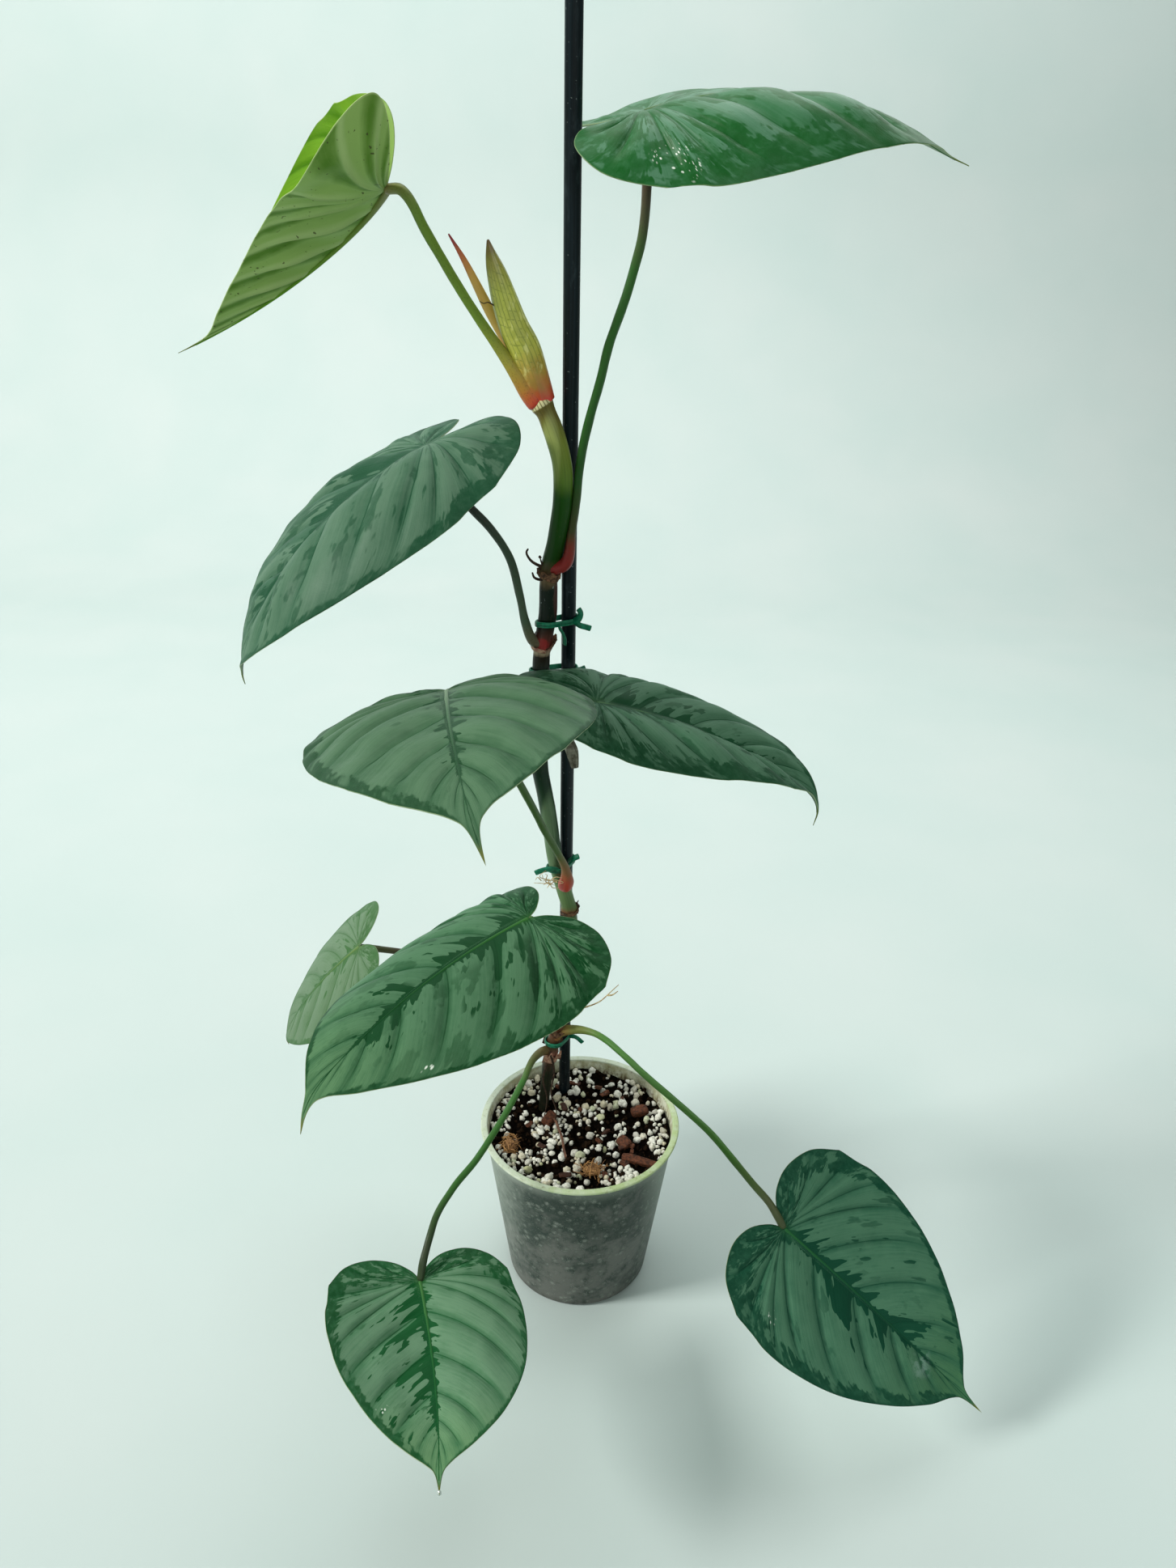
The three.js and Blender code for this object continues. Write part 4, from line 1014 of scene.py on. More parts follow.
STALKS = {
    "leaf_1": [
        (0, (200, 58, 46)), (0.04, (190, 92, 54)), (0.09, (180, 130, 56)), (0.2, (156, 150, 60)),
        (0.4, (110, 138, 44)), (0.85, (98, 128, 42)), (1, (112, 104, 60)),
    ],
    "leaf_2": [
        (0, (138, 34, 34)), (0.09, (132, 38, 36)), (0.16, (64, 66, 34)), (0.28, (34, 80, 28)),
        (0.72, (46, 96, 34)), (0.86, (84, 70, 56)), (1, (72, 56, 48)),
    ],
    "leaf_3": [
        (0, (150, 70, 66)), (0.08, (104, 92, 70)), (0.2, (64, 84, 62)), (0.5, (52, 70, 54)),
        (0.75, (28, 36, 30)), (1, (12, 16, 14)),
    ],
    "leaf_4": [
        (0, (190, 22, 24)), (0.05, (170, 52, 38)), (0.12, (118, 84, 48)), (0.2, (66, 94, 42)),
        (1, (56, 90, 40)),
    ],
    "leaf_5": [(0, (120, 90, 70)), (0.2, (60, 95, 50)), (1, (60, 90, 50))],
    "leaf_6": [(0, (120, 90, 60)), (0.2, (70, 110, 50)), (1, (70, 110, 50))],
    "leaf_7": [(0, (110, 80, 55)), (0.3, (80, 85, 50)), (0.8, (72, 60, 45)), (1, (80, 95, 50))],
    "leaf_8": [
        (0, (120, 85, 60)), (0.12, (95, 94, 56)), (0.25, (56, 106, 40)), (0.7, (52, 98, 40)),
        (0.9, (50, 62, 40)), (1, (52, 70, 42)),
    ],
    "leaf_9": [
        (0, (140, 92, 56)), (0.08, (110, 112, 56)), (0.2, (68, 116, 46)), (0.75, (62, 108, 40)),
        (0.92, (78, 84, 52)), (1, (72, 82, 52)),
    ],
}
SPECKLES, FEW_SPECKLES = dict(leaf_1=0.5, leaf_2=0.5, leaf_3=0.9), 0.25
ROOTED = 6  # how far below its node a stalk starts inside the stem
LEAF_1_FOOT, LEAF_4_FOOT = (-27, -40, 615.5), (-12.4, -0.5, 320.5)
EXTRA_SWELL = dict(leaf_1=(2.3, 0, 26), leaf_4=(0.9, 12, 9))
STALK_STEP = 1.8

stem_centres = smooth_path(STEM_PATH, step=1.3)


def stem_at(z):
    """The middle and the direction of the stem at one height."""
    k = int(np.argmax(stem_centres[:, 2] >= z))
    ahead = unit(stem_centres[min(k + 2, len(stem_centres) - 1)] - stem_centres[max(k - 2, 0)])
    return stem_centres[k], ahead


def swell(run, high, at, reach):
    """A soft bump in a run of widths."""
    return high * np.exp(-(((run - at) / reach) ** 2))


def round_noise(along, turn, around, seed):
    """Noise on a round piece, with bumps of one size along it and another around it."""
    return noise_at(along, np.cos(turn) * around, np.sin(turn) * around, seed)


def build_stalk(name, spec):
    route = [*spec["stalk"], tuple(np.array(spec["joint"]) - 0.8 * Blade(spec).up)]
    if name == "leaf_4":
        route[0] = LEAF_4_FOOT
    elif name == "leaf_1":
        route.insert(0, LEAF_1_FOOT)
    else:
        route.insert(0, tuple(stem_at(route[0][2] - ROOTED)[0]))
    centres = smooth_path(route, step=STALK_STEP)
    run = np.linspace(0, STALK_STEP * (len(centres) - 1), len(centres))
    base = spec["base_radius"]
    widths = base + (STALK_RADIUS - base) * smoothstep(run, 0, STALK_SWELL)
    widths += swell(run - run[-1], 0.18, -9, 7)
    if name in EXTRA_SWELL:
        widths += swell(run, *EXTRA_SWELL[name])
    seed = len(name) + int(name[-1])

    def flutes(share, turn, length):
        return 0.06 * np.cos(turn * 5) + 0.12 * noise_at(share * length / 9, turn / 1.5, seed)

    shape = Shape()
    tube(shape, centres, widths, sides=18, relief=flutes)
    g = Graph(name + "_stalk", Specular_IOR_Level=0.22)
    share, turn, mm = g.attribute("tube")
    x, y, z = g.object_place()
    blur = g.noise(x, y, z, scale=0.12, detail=3)
    colour = g.ramp(share + (blur - 0.5) * 0.06, STALKS[name])
    lines = g.noise(turn * 60.0, mm * 0.05, float(seed))
    colour = g.mix(lines.step(0.45, 0.75) * 0.25, colour, (40, 60, 30))
    specks = g.cells(x, y, z, scale=0.9).until(0.12, 0.3)
    colour = g.mix(specks * SPECKLES.get(name, FEW_SPECKLES), colour, (60, 45, 35))
    skin = g.finish(colour, blur * 0.2 + 0.3, lines + specks * 0.4, 0.12)
    shape.build(name + "_stalk", [skin], leaf_slot(name), [name])


for name, spec in LEAVES.items():
    build_stalk(name, spec)


# Stem

STEM_COLOURS = [  # height and colour
    (82, (24, 24, 18)), (120, (28, 32, 22)), (150, (34, 42, 28)), (158, (70, 56, 42)),
    (166, (140, 100, 84)), (174, (60, 56, 36)), (186, (100, 64, 44)), (198, (100, 74, 48)),
    (215, (76, 84, 50)), (293.5, (70, 94, 54)), (297, (58, 40, 30)), (299.5, (122, 86, 58)),
    (301.5, (84, 108, 62)), (318, (94, 122, 78)), (345, (54, 82, 54)), (400, (24, 46, 32)),
    (438, (60, 72, 50)), (446, (26, 44, 32)), (470, (14, 26, 18)), (479, (40, 34, 26)),
    (481.5, (190, 170, 140)), (484, (120, 60, 52)), (490, (84, 50, 42)), (496, (14, 26, 18)),
    (518, (18, 30, 22)), (524, (120, 98, 68)), (529, (74, 58, 36)), (536, (20, 56, 10)),
    (570, (28, 72, 16)), (579, (90, 118, 44)), (598, (116, 128, 52)), (611, (104, 94, 46)),
]
STEM_SPOTS = [  # place, reach, colour and strength of single marks; the two pale ones are painted highlights
    ((-26, -24, 486), (4.5, 6, 4.5), (158, 48, 48), 0.75),
    ((-22, 18, 165), (7, 7, 6), (176, 122, 102), 0.7),
    # Pale patch on the left of the stem: painted highlight.
    ((-23, -5, 352), (6, 9, 42), (122, 150, 112), 0.5),
    ((-17.5, -25, 512), (2.6, 7, 15), (74, 42, 36), 0.85),
    # Pale patch near the top of the stem: painted highlight.
    ((-21, -46, 590), (6, 8, 27), (176, 188, 118), 0.42),
]
NODE_RING, NODE_NECK = (0.85, 0, 2.0), (-0.2, -5, 3.0)  # height, place from the node, reach
FIBRES_ROUND = 20 * 2 * math.pi  # turns the share around a piece into twenty waves


def build_stem():
    share = np.linspace(0, 1, len(stem_centres))
    z = stem_centres[:, 2]
    widths = STEM_RADII[0] + (STEM_RADII[1] - STEM_RADII[0]) * np.minimum(1, 1.3 * share)
    widths *= 0.8 + 0.2 * smoothstep(z, 138, 166)
    for node in STEM_NODES:
        widths += swell(z - node, *NODE_RING) + swell(z - node, *NODE_NECK)

    def skin(along, turn, length):
        mm = along * length
        return 0.16 * round_noise(mm / 11, turn, 1.6, 3) + 0.08 * round_noise(mm / 30, turn, 5, 4)

    shape = Shape()
    tube(shape, stem_centres, widths, sides=36, relief=skin)
    g = Graph("stem_skin", Specular_IOR_Level=0.14)
    share, turn, mm = g.attribute("tube")
    x, y, z = g.object_place()
    low, high = STEM_COLOURS[0][0], STEM_COLOURS[-1][0]
    blur = g.noise(x, y, z, scale=0.16, detail=3)
    height = (z + (blur - 0.5) * 4.0 - float(low)) * (1 / (high - low))
    colour = g.ramp(height, [((at - low) / (high - low), tint) for at, tint in STEM_COLOURS])
    for place, reach, tint, strength in STEM_SPOTS:
        colour = g.mix(spot((x, y, z), place, reach) * strength, colour, tint)
    lines = g.noise(turn * 34.0, mm * 0.03, 2.0, detail=3)
    colour = g.mix(lines.step(0.45, 0.8) * 0.4, colour, (24, 30, 16))
    scuffs = g.noise(x * 0.6, y * 0.6, z * 0.2, scale=0.6, detail=4, rough=0.7).step(0.6, 0.68)
    colour = g.mix(scuffs * 0.14, colour, (120, 104, 78))
    # Small pale spots from 505 to 522 mm: painted glints.
    pale = g.noise(turn * 22.0, mm * 0.4, 7.0, detail=1).step(0.68, 0.74) * z.step(505.0, 512.0)
    colour = g.mix(pale * z.until(519.0, 522.0) * 0.7, colour, (150, 168, 168))
    bits = g.noise(x, y, z, scale=0.3, detail=4, rough=0.7).step(0.5, 0.62)
    colour = g.mix(bits * z.until(180.0, 215.0) * 0.3, colour, (64, 46, 36))
    dashes = (turn * FIBRES_ROUND).wave().step(0.35, 0.8)
    cut = g.mix(dashes * 0.8, (206, 200, 150), (92, 84, 46))
    colour = g.mix(share.step(0.992, 0.9935), colour, cut)
    surface = g.finish(colour, blur * 0.2 + 0.26, lines + scuffs * 0.3, 0.14)
    shape.build("stem_skin", [surface], "stem", ["stem"])


build_stem()

bark_brown = plain_material("dry_scale", ((44, 30, 22), (128, 92, 66)), 0.75, 0.3, 0.5)
scar_pink = plain_material("pink_scale", ((130, 76, 64), (206, 168, 140)), 0.7, 0.3, 0.5)
root_brown = plain_material("aerial_root", ((28, 22, 18), (74, 56, 42)), 0.8, 0.3, 0.6)
root_pale = plain_material("pale_root", ((150, 120, 78), (214, 196, 150)), 0.8, 0.3, 0.5)

SCALES = [  # place on the stem, height, start and span in degrees, flare, seed and material
    (484, 4.5, 110, 230, 1.6, 1, 0), (482, 3.5, -60, 170, 1.4, 2, 1),
    (525, 3.5, -60, 350, 0.7, 3, 0), (528, -3, 0, 340, 0.5, 8, 0), (297, 2.5, 0, 340, 0.4, 4, 0),
    (160, 10, 50, 130, 2.6, 5, 1), (171, 8, 200, 140, 2.2, 6, 0), (186, 6, 20, 150, 1.4, 9, 0),
]
SCALE_THICKNESS = 0.35
SCALE_GAP, LOW_SCALE_GAP, LOW = 1.3, 0.8, 250  # clearance above and below a height


def add_scale(shape, z, height, start, span, flare, seed, slot):
    """A ragged papery scale that wraps part of the stem above z."""
    centre, ahead = stem_at(z)
    side = unit(np.cross(ahead, (0, 1, 0)))
    depth = np.cross(ahead, side)
    turns = np.radians(np.linspace(start, start + span, 25))
    rise, turn = np.meshgrid(np.linspace(0, 1, 7), turns, indexing="ij")
    ragged = 1 + 0.5 * noise_at(turn * 5, 0, seed, seed)
    taper = np.sin(np.pi * (turn - turns[0]) / (turns[-1] - turns[0])) ** 0.4
    up = rise * height * ragged * taper
    waves = noise_at(turn * 4, rise * 2, 0, seed + 1)
    clear = STEM_RADII[0] + (SCALE_GAP if z > LOW else LOW_SCALE_GAP)
    out = clear + flare * rise**1.5 + 0.35 * waves
    sheets = [
        centre + up[..., None] * ahead + (r * np.cos(turn))[..., None] * side
        + (r * np.sin(turn))[..., None] * depth
        for r in (out, out + SCALE_THICKNESS)
    ]
    n, m = turn.shape
    outer = np.array(grid_faces(n, m, start=n * m))
    inner = np.array(grid_faces(n, m))[:, ::-1]
    loop = [*range(m), *(k * m + m - 1 for k in range(1, n))]
    loop += [(n - 1) * m + i for i in range(m - 2, -1, -1)] + [k * m for k in range(n - 2, 0, -1)]
    border = [[a, b, b + n * m, a + n * m] for a, b in zip(loop, loop[1:] + loop[:1])]
    points = np.concatenate([s.reshape(-1, 3) for s in sheets])
    shape.add(points, outer.tolist() + inner.tolist() + border, slot)


scales = Shape()
for scale in SCALES:
    add_scale(scales, *scale)
scales.build("stem_scales", [bark_brown, scar_pink], "stem", mend=True)

WARTS = [  # place and radius
    ((-26.8, -29.8, 536.8), 0.9), ((-26.6, -27.2, 530), 1.1), ((-25.3, -28.6, 526.5), 1.0),
    ((-22.3, -30, 527), 0.9), ((-18.6, -28.6, 526.5), 1.0), ((-4.2, 4, 300.5), 1.6),
    ((-4.6, 2.5, 297), 1.1),
]
DARK_ROOTS = [
    [(-22, 18, 172), (-19, 14, 158), (-21, 10, 142), (-17, 6, 128), (-19, 3, 118)],
    [(-24, 22, 160), (-27, 17, 148), (-24, 13, 134), (-26, 9, 119)],
    [(-9, 8, 300), (-5.5, 4.5, 302), (-3.6, 3.6, 305.5)],
    [(-23, -28, 530), (-25.6, -29.2, 533), (-26.8, -29.8, 536.5)],
]
FIBRES = [[(-47, -49, 660), (-50, -50.5, 661.5), (-52, -51, 661), (-54, -51, 662)]]
PALE_ROOTS = [
    [(-10, 14, 212), (-2, 12, 214), (6, 10.5, 218), (12.2, 10, 222), (18, 10, 228.5),
     (24.5, 10, 236)],
    [(17, 10, 227), (20, 9, 228), (24, 8, 232)],
]
HAIR_BOX = ((-29, -17), (-18, -14), (329, 333))  # where the hairs on the third tie start
HAIRS = 14
TURN = 6.28  # a full turn for random directions


def add_twigs(shape, routes, step, thick, thin, sides):
    for route in routes:
        centres = smooth_path(route, step=step)
        tube(shape, centres, np.linspace(thick, thin, len(centres)), sides=sides)


def build_roots():
    random = np.random.default_rng(21)
    hairs = []
    for _ in range(HAIRS):
        start = np.array([random.uniform(low, high) for low, high in HAIR_BOX])
        turn = random.normal(0, 1, (2, 3)) * (4, 1, 2.5)
        hairs.append([start, start + turn[0], start + turn[0] + turn[1]])
    dark, pale, warts = Shape(), Shape(), Shape()
    add_twigs(dark, AERIAL_ROOTS, 0.8, 1.1, 0.5, 8)
    add_twigs(dark, DARK_ROOTS, 1.0, 0.9, 0.3, 7)
    add_twigs(dark, FIBRES, 0.6, 0.35, 0.15, 6)
    add_twigs(pale, PALE_ROOTS, 1.0, 0.7, 0.25, 7)
    add_twigs(pale, hairs, 0.8, 0.4, 0.15, 5)
    for place, radius in WARTS:
        radii = (radius, radius, radius * 0.8)
        pebble(warts, place, radii, random.uniform(0, 6, 2), random, 0.25)
    dark.build("aerial_roots", [root_brown], "stem")
    pale.build("pale_roots", [root_pale], "stem")
    warts.build("node_warts", [root_brown], "stem")


build_roots()


# Sheath and bracts

def pointed(path, widths, flatness, sides, step, relief=None):
    """A closed, flattened tube whose widths are given at shares of its length."""
    shape = Shape()
    centres = smooth_path(path, step=step)
    half = stepped(widths, np.linspace(0, 1, len(centres)))
    tube(shape, centres, half, half * flatness, sides=sides, relief=relief)
    return shape


def build_sheath():
    def pleats(share, turn, length):
        return (
            0.1 * np.cos(turn * 13) * np.sin(np.pi * share)
            + 0.3 * round_noise(share * 5, turn, 2.5, 8)
            + 0.25 * np.cos(turn * 9 + 2 * share) * np.exp(-share / 0.12)
        )

    skirt = tuple(1.25 * np.array(SHEATH_PATH[0]) - 0.25 * np.array(SHEATH_PATH[1]))
    shape = pointed([skirt, *SHEATH_PATH[1:]], SHEATH_WIDTHS, 0.8, 60, 0.8, pleats)
    g = Graph("sheath_skin", Specular_IOR_Level=0.35, Coat_Weight=0.35, Coat_Roughness=0.22)
    share, turn, mm = g.attribute("tube")
    x, y, z = g.object_place()
    soft = g.noise(x, y, z, scale=0.2, detail=3)
    colour = g.ramp(share + (soft - 0.5) * 0.1, [
        (0.0, (206, 50, 44)), (0.035, (196, 66, 46)), (0.1, (178, 104, 52)),
        (0.2, (174, 138, 54)), (0.36, (180, 180, 66)), (0.7, (184, 188, 78)),
        (0.88, (160, 150, 72)), (0.98, (112, 86, 52)),
    ])
    shadow = g.noise(x, y, z, scale=0.13, detail=3, rough=0.6)
    colour = g.mix(shadow.step(0.45, 0.7) * 0.28, colour, (112, 124, 40))
    # Pale streaky patches in the middle: painted highlight.
    gloss = g.noise(x * 1.3, y * 1.3, z * 0.5, scale=0.3, detail=3).step(0.52, 0.7)
    gloss = gloss * share.step(0.1, 0.25)
    colour = g.mix(gloss * share.until(0.5, 0.85) * 0.6, colour, (230, 228, 146))
    warp = (g.noise(x, y, z, scale=0.35) - 0.5) * 0.012
    lengthwise = ((turn + warp) * FIBRES_ROUND).wave().step(0.6, 1.0)
    crossing = ((mm + soft * 2.0 + turn * 22.0) * 1.5).wave().step(0.8, 0.98)
    crossing = crossing * g.noise(x, y, z, scale=0.5).step(0.45, 0.6)
    net = lengthwise.most(crossing) * share.step(0.12, 0.3) * share.until(0.9, 1.0)
    colour = g.mix(net * 0.55, colour, (104, 122, 38))
    bump = net * -0.4 + soft + g.noise(turn * 50.0, mm * 0.08, 1.0, detail=3) * 0.7
    surface = g.finish(colour, soft * 0.25 + 0.2, bump, 0.2)
    shape.build("sheath_skin", [surface], "sheath", ["sheath"])


def build_bract():
    shape = pointed(BRACT_PATH, BRACT_WIDTHS, 0.5, 32, 0.8)
    g = Graph("bract_skin", Specular_IOR_Level=0.5)
    share, turn, mm = g.attribute("tube")
    soft = g.noise(*g.object_place(), scale=0.2, detail=3)
    colour = g.ramp(share + (soft - 0.5) * 0.1, [
        (0.0, (190, 90, 60)), (0.45, (220, 182, 96)), (0.74, (210, 164, 80)),
        (0.86, (192, 104, 56)), (0.97, (150, 40, 44)),
    ])
    lines = g.noise(turn * 40.0, mm * 0.05, 4.0, detail=3)
    colour = g.mix(lines.step(0.5, 0.8) * 0.3, colour, (150, 84, 50))
    surface = g.finish(colour, soft * 0.2 + 0.3, lines, 0.15)
    shape.build("bract_skin", [surface], "bract", ["bract"])


def build_dry_bract():
    def folds(share, turn, length):
        return 0.22 * np.cos(turn * 7 + share * 3) + 0.4 * round_noise(share * 6, turn, 3, 5)

    shape = pointed(DRY_BRACT_PATH, DRY_BRACT_WIDTHS, 0.26, 48, 0.7, folds)
    g = Graph("dry_bract_skin", Specular_IOR_Level=0.25)
    _, turn, mm = g.attribute("tube")
    x, y, z = g.object_place()
    soft = g.noise(x, y, z, scale=0.3, detail=4)
    colour = g.mix(soft.step(0.3, 0.7), (80, 74, 62), (138, 134, 120))
    colour = g.mix((x + 11.0).until(-2.5, -0.5), colour, (226, 222, 206))
    lines = g.noise(turn * 46.0, mm * 0.06, 4.0, detail=3)
    colour = g.mix(lines.step(0.5, 0.75) * 0.5, colour, (70, 62, 50))
    creases = g.noise(turn * 11.0, mm * 0.03, 9.0, detail=1).step(0.5, 0.58)
    colour = g.mix(creases * 0.7, colour, (58, 54, 44))
    surface = g.finish(colour, 0.75, lines, 0.25)
    shape.build("dry_bract_skin", [surface], "dry_bract", ["dry_bract"])


build_sheath()
build_bract()
build_dry_bract()


# Stake

STAKE_TOP = [(2, 4), (1.2, 3.9), (0.5, 3.5), (0, 2.6)]  # distance below the end, and radius

right, forward = (math.tan(math.radians(lean)) for lean in STAKE_LEAN)
stake_ahead = unit((right, -forward, 1.0))


def stake_at(z):
    return np.array(STAKE["entry"]) + stake_ahead * (z - STAKE["entry"][2]) / stake_ahead[2]


def build_stake():
    below, top_radii = zip(*STAKE_TOP)
    point, tops = STAKE["point"], [STAKE["length"] - b for b in below]
    run = [np.linspace(0, point, 8), np.linspace(point + 4, tops[0], 180), tops[1:]]
    run = np.concatenate(run)
    radii = [STAKE["point_radius"], STAKE["radius"], *top_radii]
    widths = np.interp(run, [0, point, *tops], radii)

    def coat(share, turn, length):
        return 0.05 * round_noise(share * length / 60, turn, 3, 6)

    shape = Shape()
    centres = stake_at(STAKE["point_z"]) + run[:, None] * stake_ahead
    tube(shape, centres, widths, sides=40, relief=coat, round_ends=False)
    g = Graph("stake_coat", Specular_IOR_Level=0.18)
    _, turn, mm = g.attribute("tube")
    x, y, z = g.object_place()
    lines = g.noise(turn * 44.0, mm * 0.012, 1.0, detail=3)
    dust = g.noise(x, y, z * 0.25, scale=0.25, detail=4, rough=0.65)
    colour = g.mix(lines.step(0.4, 0.7), (6, 16, 20), (16, 32, 38))
    colour = g.mix(dust.step(0.55, 0.75) * 0.2, colour, (70, 86, 90))
    nicks = g.noise(x * 0.8, y * 0.8, z, scale=0.8, detail=1).step(0.73, 0.76)
    colour = g.mix(nicks * 0.5, colour, (130, 140, 138))
    surface = g.finish(colour, dust * 0.25 + 0.26, lines + nicks * -0.5, 0.1)
    shape.build("stake_coat", [surface], "stake", ["stake"])


build_stake()


# Ties

BAND_STEP = 1.2


def band_loop(z, slant, grow):
    """The line of a stretched band round stake and stem, slanting up to the right."""
    stake, (stem, _) = stake_at(z), stem_at(z)
    ends = ((stake, STAKE["radius"]), (stem, STEM_RADII[1]))
    circles = [(place[:2], radius + GAP + TIE["slack"] + grow) for place, radius in ends]
    turns = np.linspace(0, 2 * np.pi, 64, endpoint=False)
    out = np.stack([np.cos(turns), np.sin(turns)], -1)
    reach = np.stack([out @ centre + radius for centre, radius in circles], -1)
    near = reach.argmax(axis=1)
    points = np.array([circles[k][0] + circles[k][1] * o for k, o in zip(near, out)])
    fine = []
    for a, b in zip(points, np.roll(points, -1, axis=0)):
        n = max(1, int(np.linalg.norm(b - a) / BAND_STEP))
        fine += [a + (b - a) * t / n for t in range(n)]
    fine = np.array(fine)
    return np.column_stack([fine, z + (fine[:, 0] - stake[0]) * math.tan(math.radians(slant))])


def build_tie(name, z, slant, tails, material):
    loop = band_loop(z, slant, TIE["thickness"] / 2)
    ahead = unit(np.roll(loop, -1, axis=0) - np.roll(loop, 1, axis=0))
    out = np.cross(ahead, (0, 0, 1))
    turn = np.linspace(0, 2 * np.pi, 20, endpoint=False)
    wide, high = (
        half * np.sign(wave) * np.abs(wave) ** corner
        for half, wave, corner in (
            (TIE["thickness"] / 2, np.cos(turn), 0.6), (TIE["height"] * 0.62, np.sin(turn), 0.8),
        )
    )
    sag = 0.5 * np.sin(np.linspace(0, 4 * np.pi, len(loop), endpoint=False))
    points = loop[:, None] + wide[None, :, None] * out[:, None]
    points = points + (high + sag[:, None])[..., None] * np.array([0, 0, 1.0])
    n, m = points.shape[:2]
    faces = grid_faces(n, m, closed=True)
    faces += [[(n - 1) * m + i, (n - 1) * m + (i + 1) % m, (i + 1) % m, i] for i in range(m)]
    data = np.linspace(0, 1, n)[:, None], turn[None] / (2 * np.pi), np.linspace(0, 60, n)[:, None]
    shape = Shape()
    shape.add(points, faces, tube=np.stack(np.broadcast_arrays(*data), -1))
    for tail in tails:
        centres = smooth_path(np.array(tail) + stake_at(z), step=0.7)
        tube(shape, centres, 1.8, 0.6, sides=16, across=(0, 0, 1))
    shape.build(name + "_band", [material], "tie", [name], mend=True)


def tie_material():
    g = Graph("tie_plastic", Specular_IOR_Level=0.3)
    turn = g.attribute("tube")[1]
    soft = g.noise(*g.object_place(), scale=0.4, detail=3)
    colour = g.mix(soft.step(0.3, 0.7), (8, 92, 66), (22, 124, 90))
    ribs = (turn * (4 * 2 * math.pi)).wave()
    return g.finish(colour, soft * 0.2 + 0.25, ribs * 0.4 + soft, 0.15)


tie_plastic = tie_material()
for name, (z, slant, tails) in TIES.items():
    build_tie(name, z, slant, tails, tie_plastic)


# Pot

POT_SIDES = 144
NECK_ROUND, LIP_ROUND = 0.8, 0.9  # radii of the roundings below the lip and on it
AXIS = 0.5  # radius of the smallest ring, which a cap closes


def lathe_points(profile, sides):
    turn = np.linspace(0, 2 * np.pi, sides, endpoint=False)
    r, z = np.asarray(profile, float).T[:, :, None]
    return np.stack([r * np.cos(turn), r * np.sin(turn), np.repeat(z, sides, axis=1)], -1)


def arc(centre, radius, start, end, steps):
    turns = np.radians(np.linspace(start, end, steps))
    return [(centre[0] + radius * math.cos(t), centre[1] + radius * math.sin(t)) for t in turns]


def inner_radius(z):
    share = (z - POT["floor"]) / (POT["height"] - POT["floor"])
    return POT["base"] - POT["wall"] + share * (POT["neck"] - POT["base"])


def pot_profile():
    """Radius and height, from the middle of the underside round the lip to the inner floor."""
    top, rim, neck, floor = POT["height"], POT["rim"], POT["neck"], POT["floor"]
    base, foot, low = POT["base"], POT["base_round"], top - POT["lip"]
    rise = low - NECK_ROUND - foot
    profile = [(AXIS, 0), (20, 0), (base - foot, 0), *arc((base - foot, foot), foot, -80, 0, 8)]
    profile += [(base + (neck - base) * k / 24, foot + rise * k / 24) for k in range(1, 25)]
    profile += arc((neck + NECK_ROUND, low - NECK_ROUND), NECK_ROUND, 180, 90, 5)[1:]
    for x, z, start in (
        (rim - LIP_ROUND, low + LIP_ROUND, -90), (rim - LIP_ROUND, top - LIP_ROUND, 0),
        (neck - POT["wall"] + LIP_ROUND, top - LIP_ROUND, 90),
    ):
        profile += arc((x, z), LIP_ROUND, start, start + 90, 6)
    profile += [(inner_radius(z), z) for z in np.linspace(top - 3, floor + 1, 20)]
    return profile + [(inner_radius(floor) - 1, floor), (20, floor), (AXIS, floor)]


def build_pot():
    profile = pot_profile()
    shape = Shape()
    shape.add(lathe_points(profile, POT_SIDES), lathe_faces(len(profile), POT_SIDES))
    pot = shape.build("pot_shell", [pot_material()], "pot", ["pot"], mend=True)
    drill(pot)


def drill(pot):
    """Cuts the drain holes."""
    cutters = bmesh.new()
    for k in range(DRAIN["count"]):
        turn, radius = 2 * math.pi * k / DRAIN["count"], DRAIN["radius"] * MM
        place = Vector((math.cos(turn), math.sin(turn), 0)) * DRAIN["ring"] * MM
        bmesh.ops.create_cone(
            cutters, cap_ends=True, segments=32, radius1=radius, radius2=radius, depth=12 * MM,
            matrix=Matrix.Translation(place),
        )
    mesh = bpy.data.meshes.new("drain_cutters")
    cutters.to_mesh(mesh)
    cutters.free()
    cutter = bpy.data.objects.new("drain_cutters", mesh)
    bpy.context.scene.collection.objects.link(cutter)
    cut = pot.modifiers.new("drain", "BOOLEAN")
    cut.operation, cut.object, cut.solver = "DIFFERENCE", cutter, "EXACT"
    evaluated = pot.evaluated_get(bpy.context.evaluated_depsgraph_get())
    made = bpy.data.meshes.new_from_object(evaluated)
    pot.modifiers.clear()
    pot.data = made
    bpy.data.objects.remove(cutter)
    made.shade_smooth()


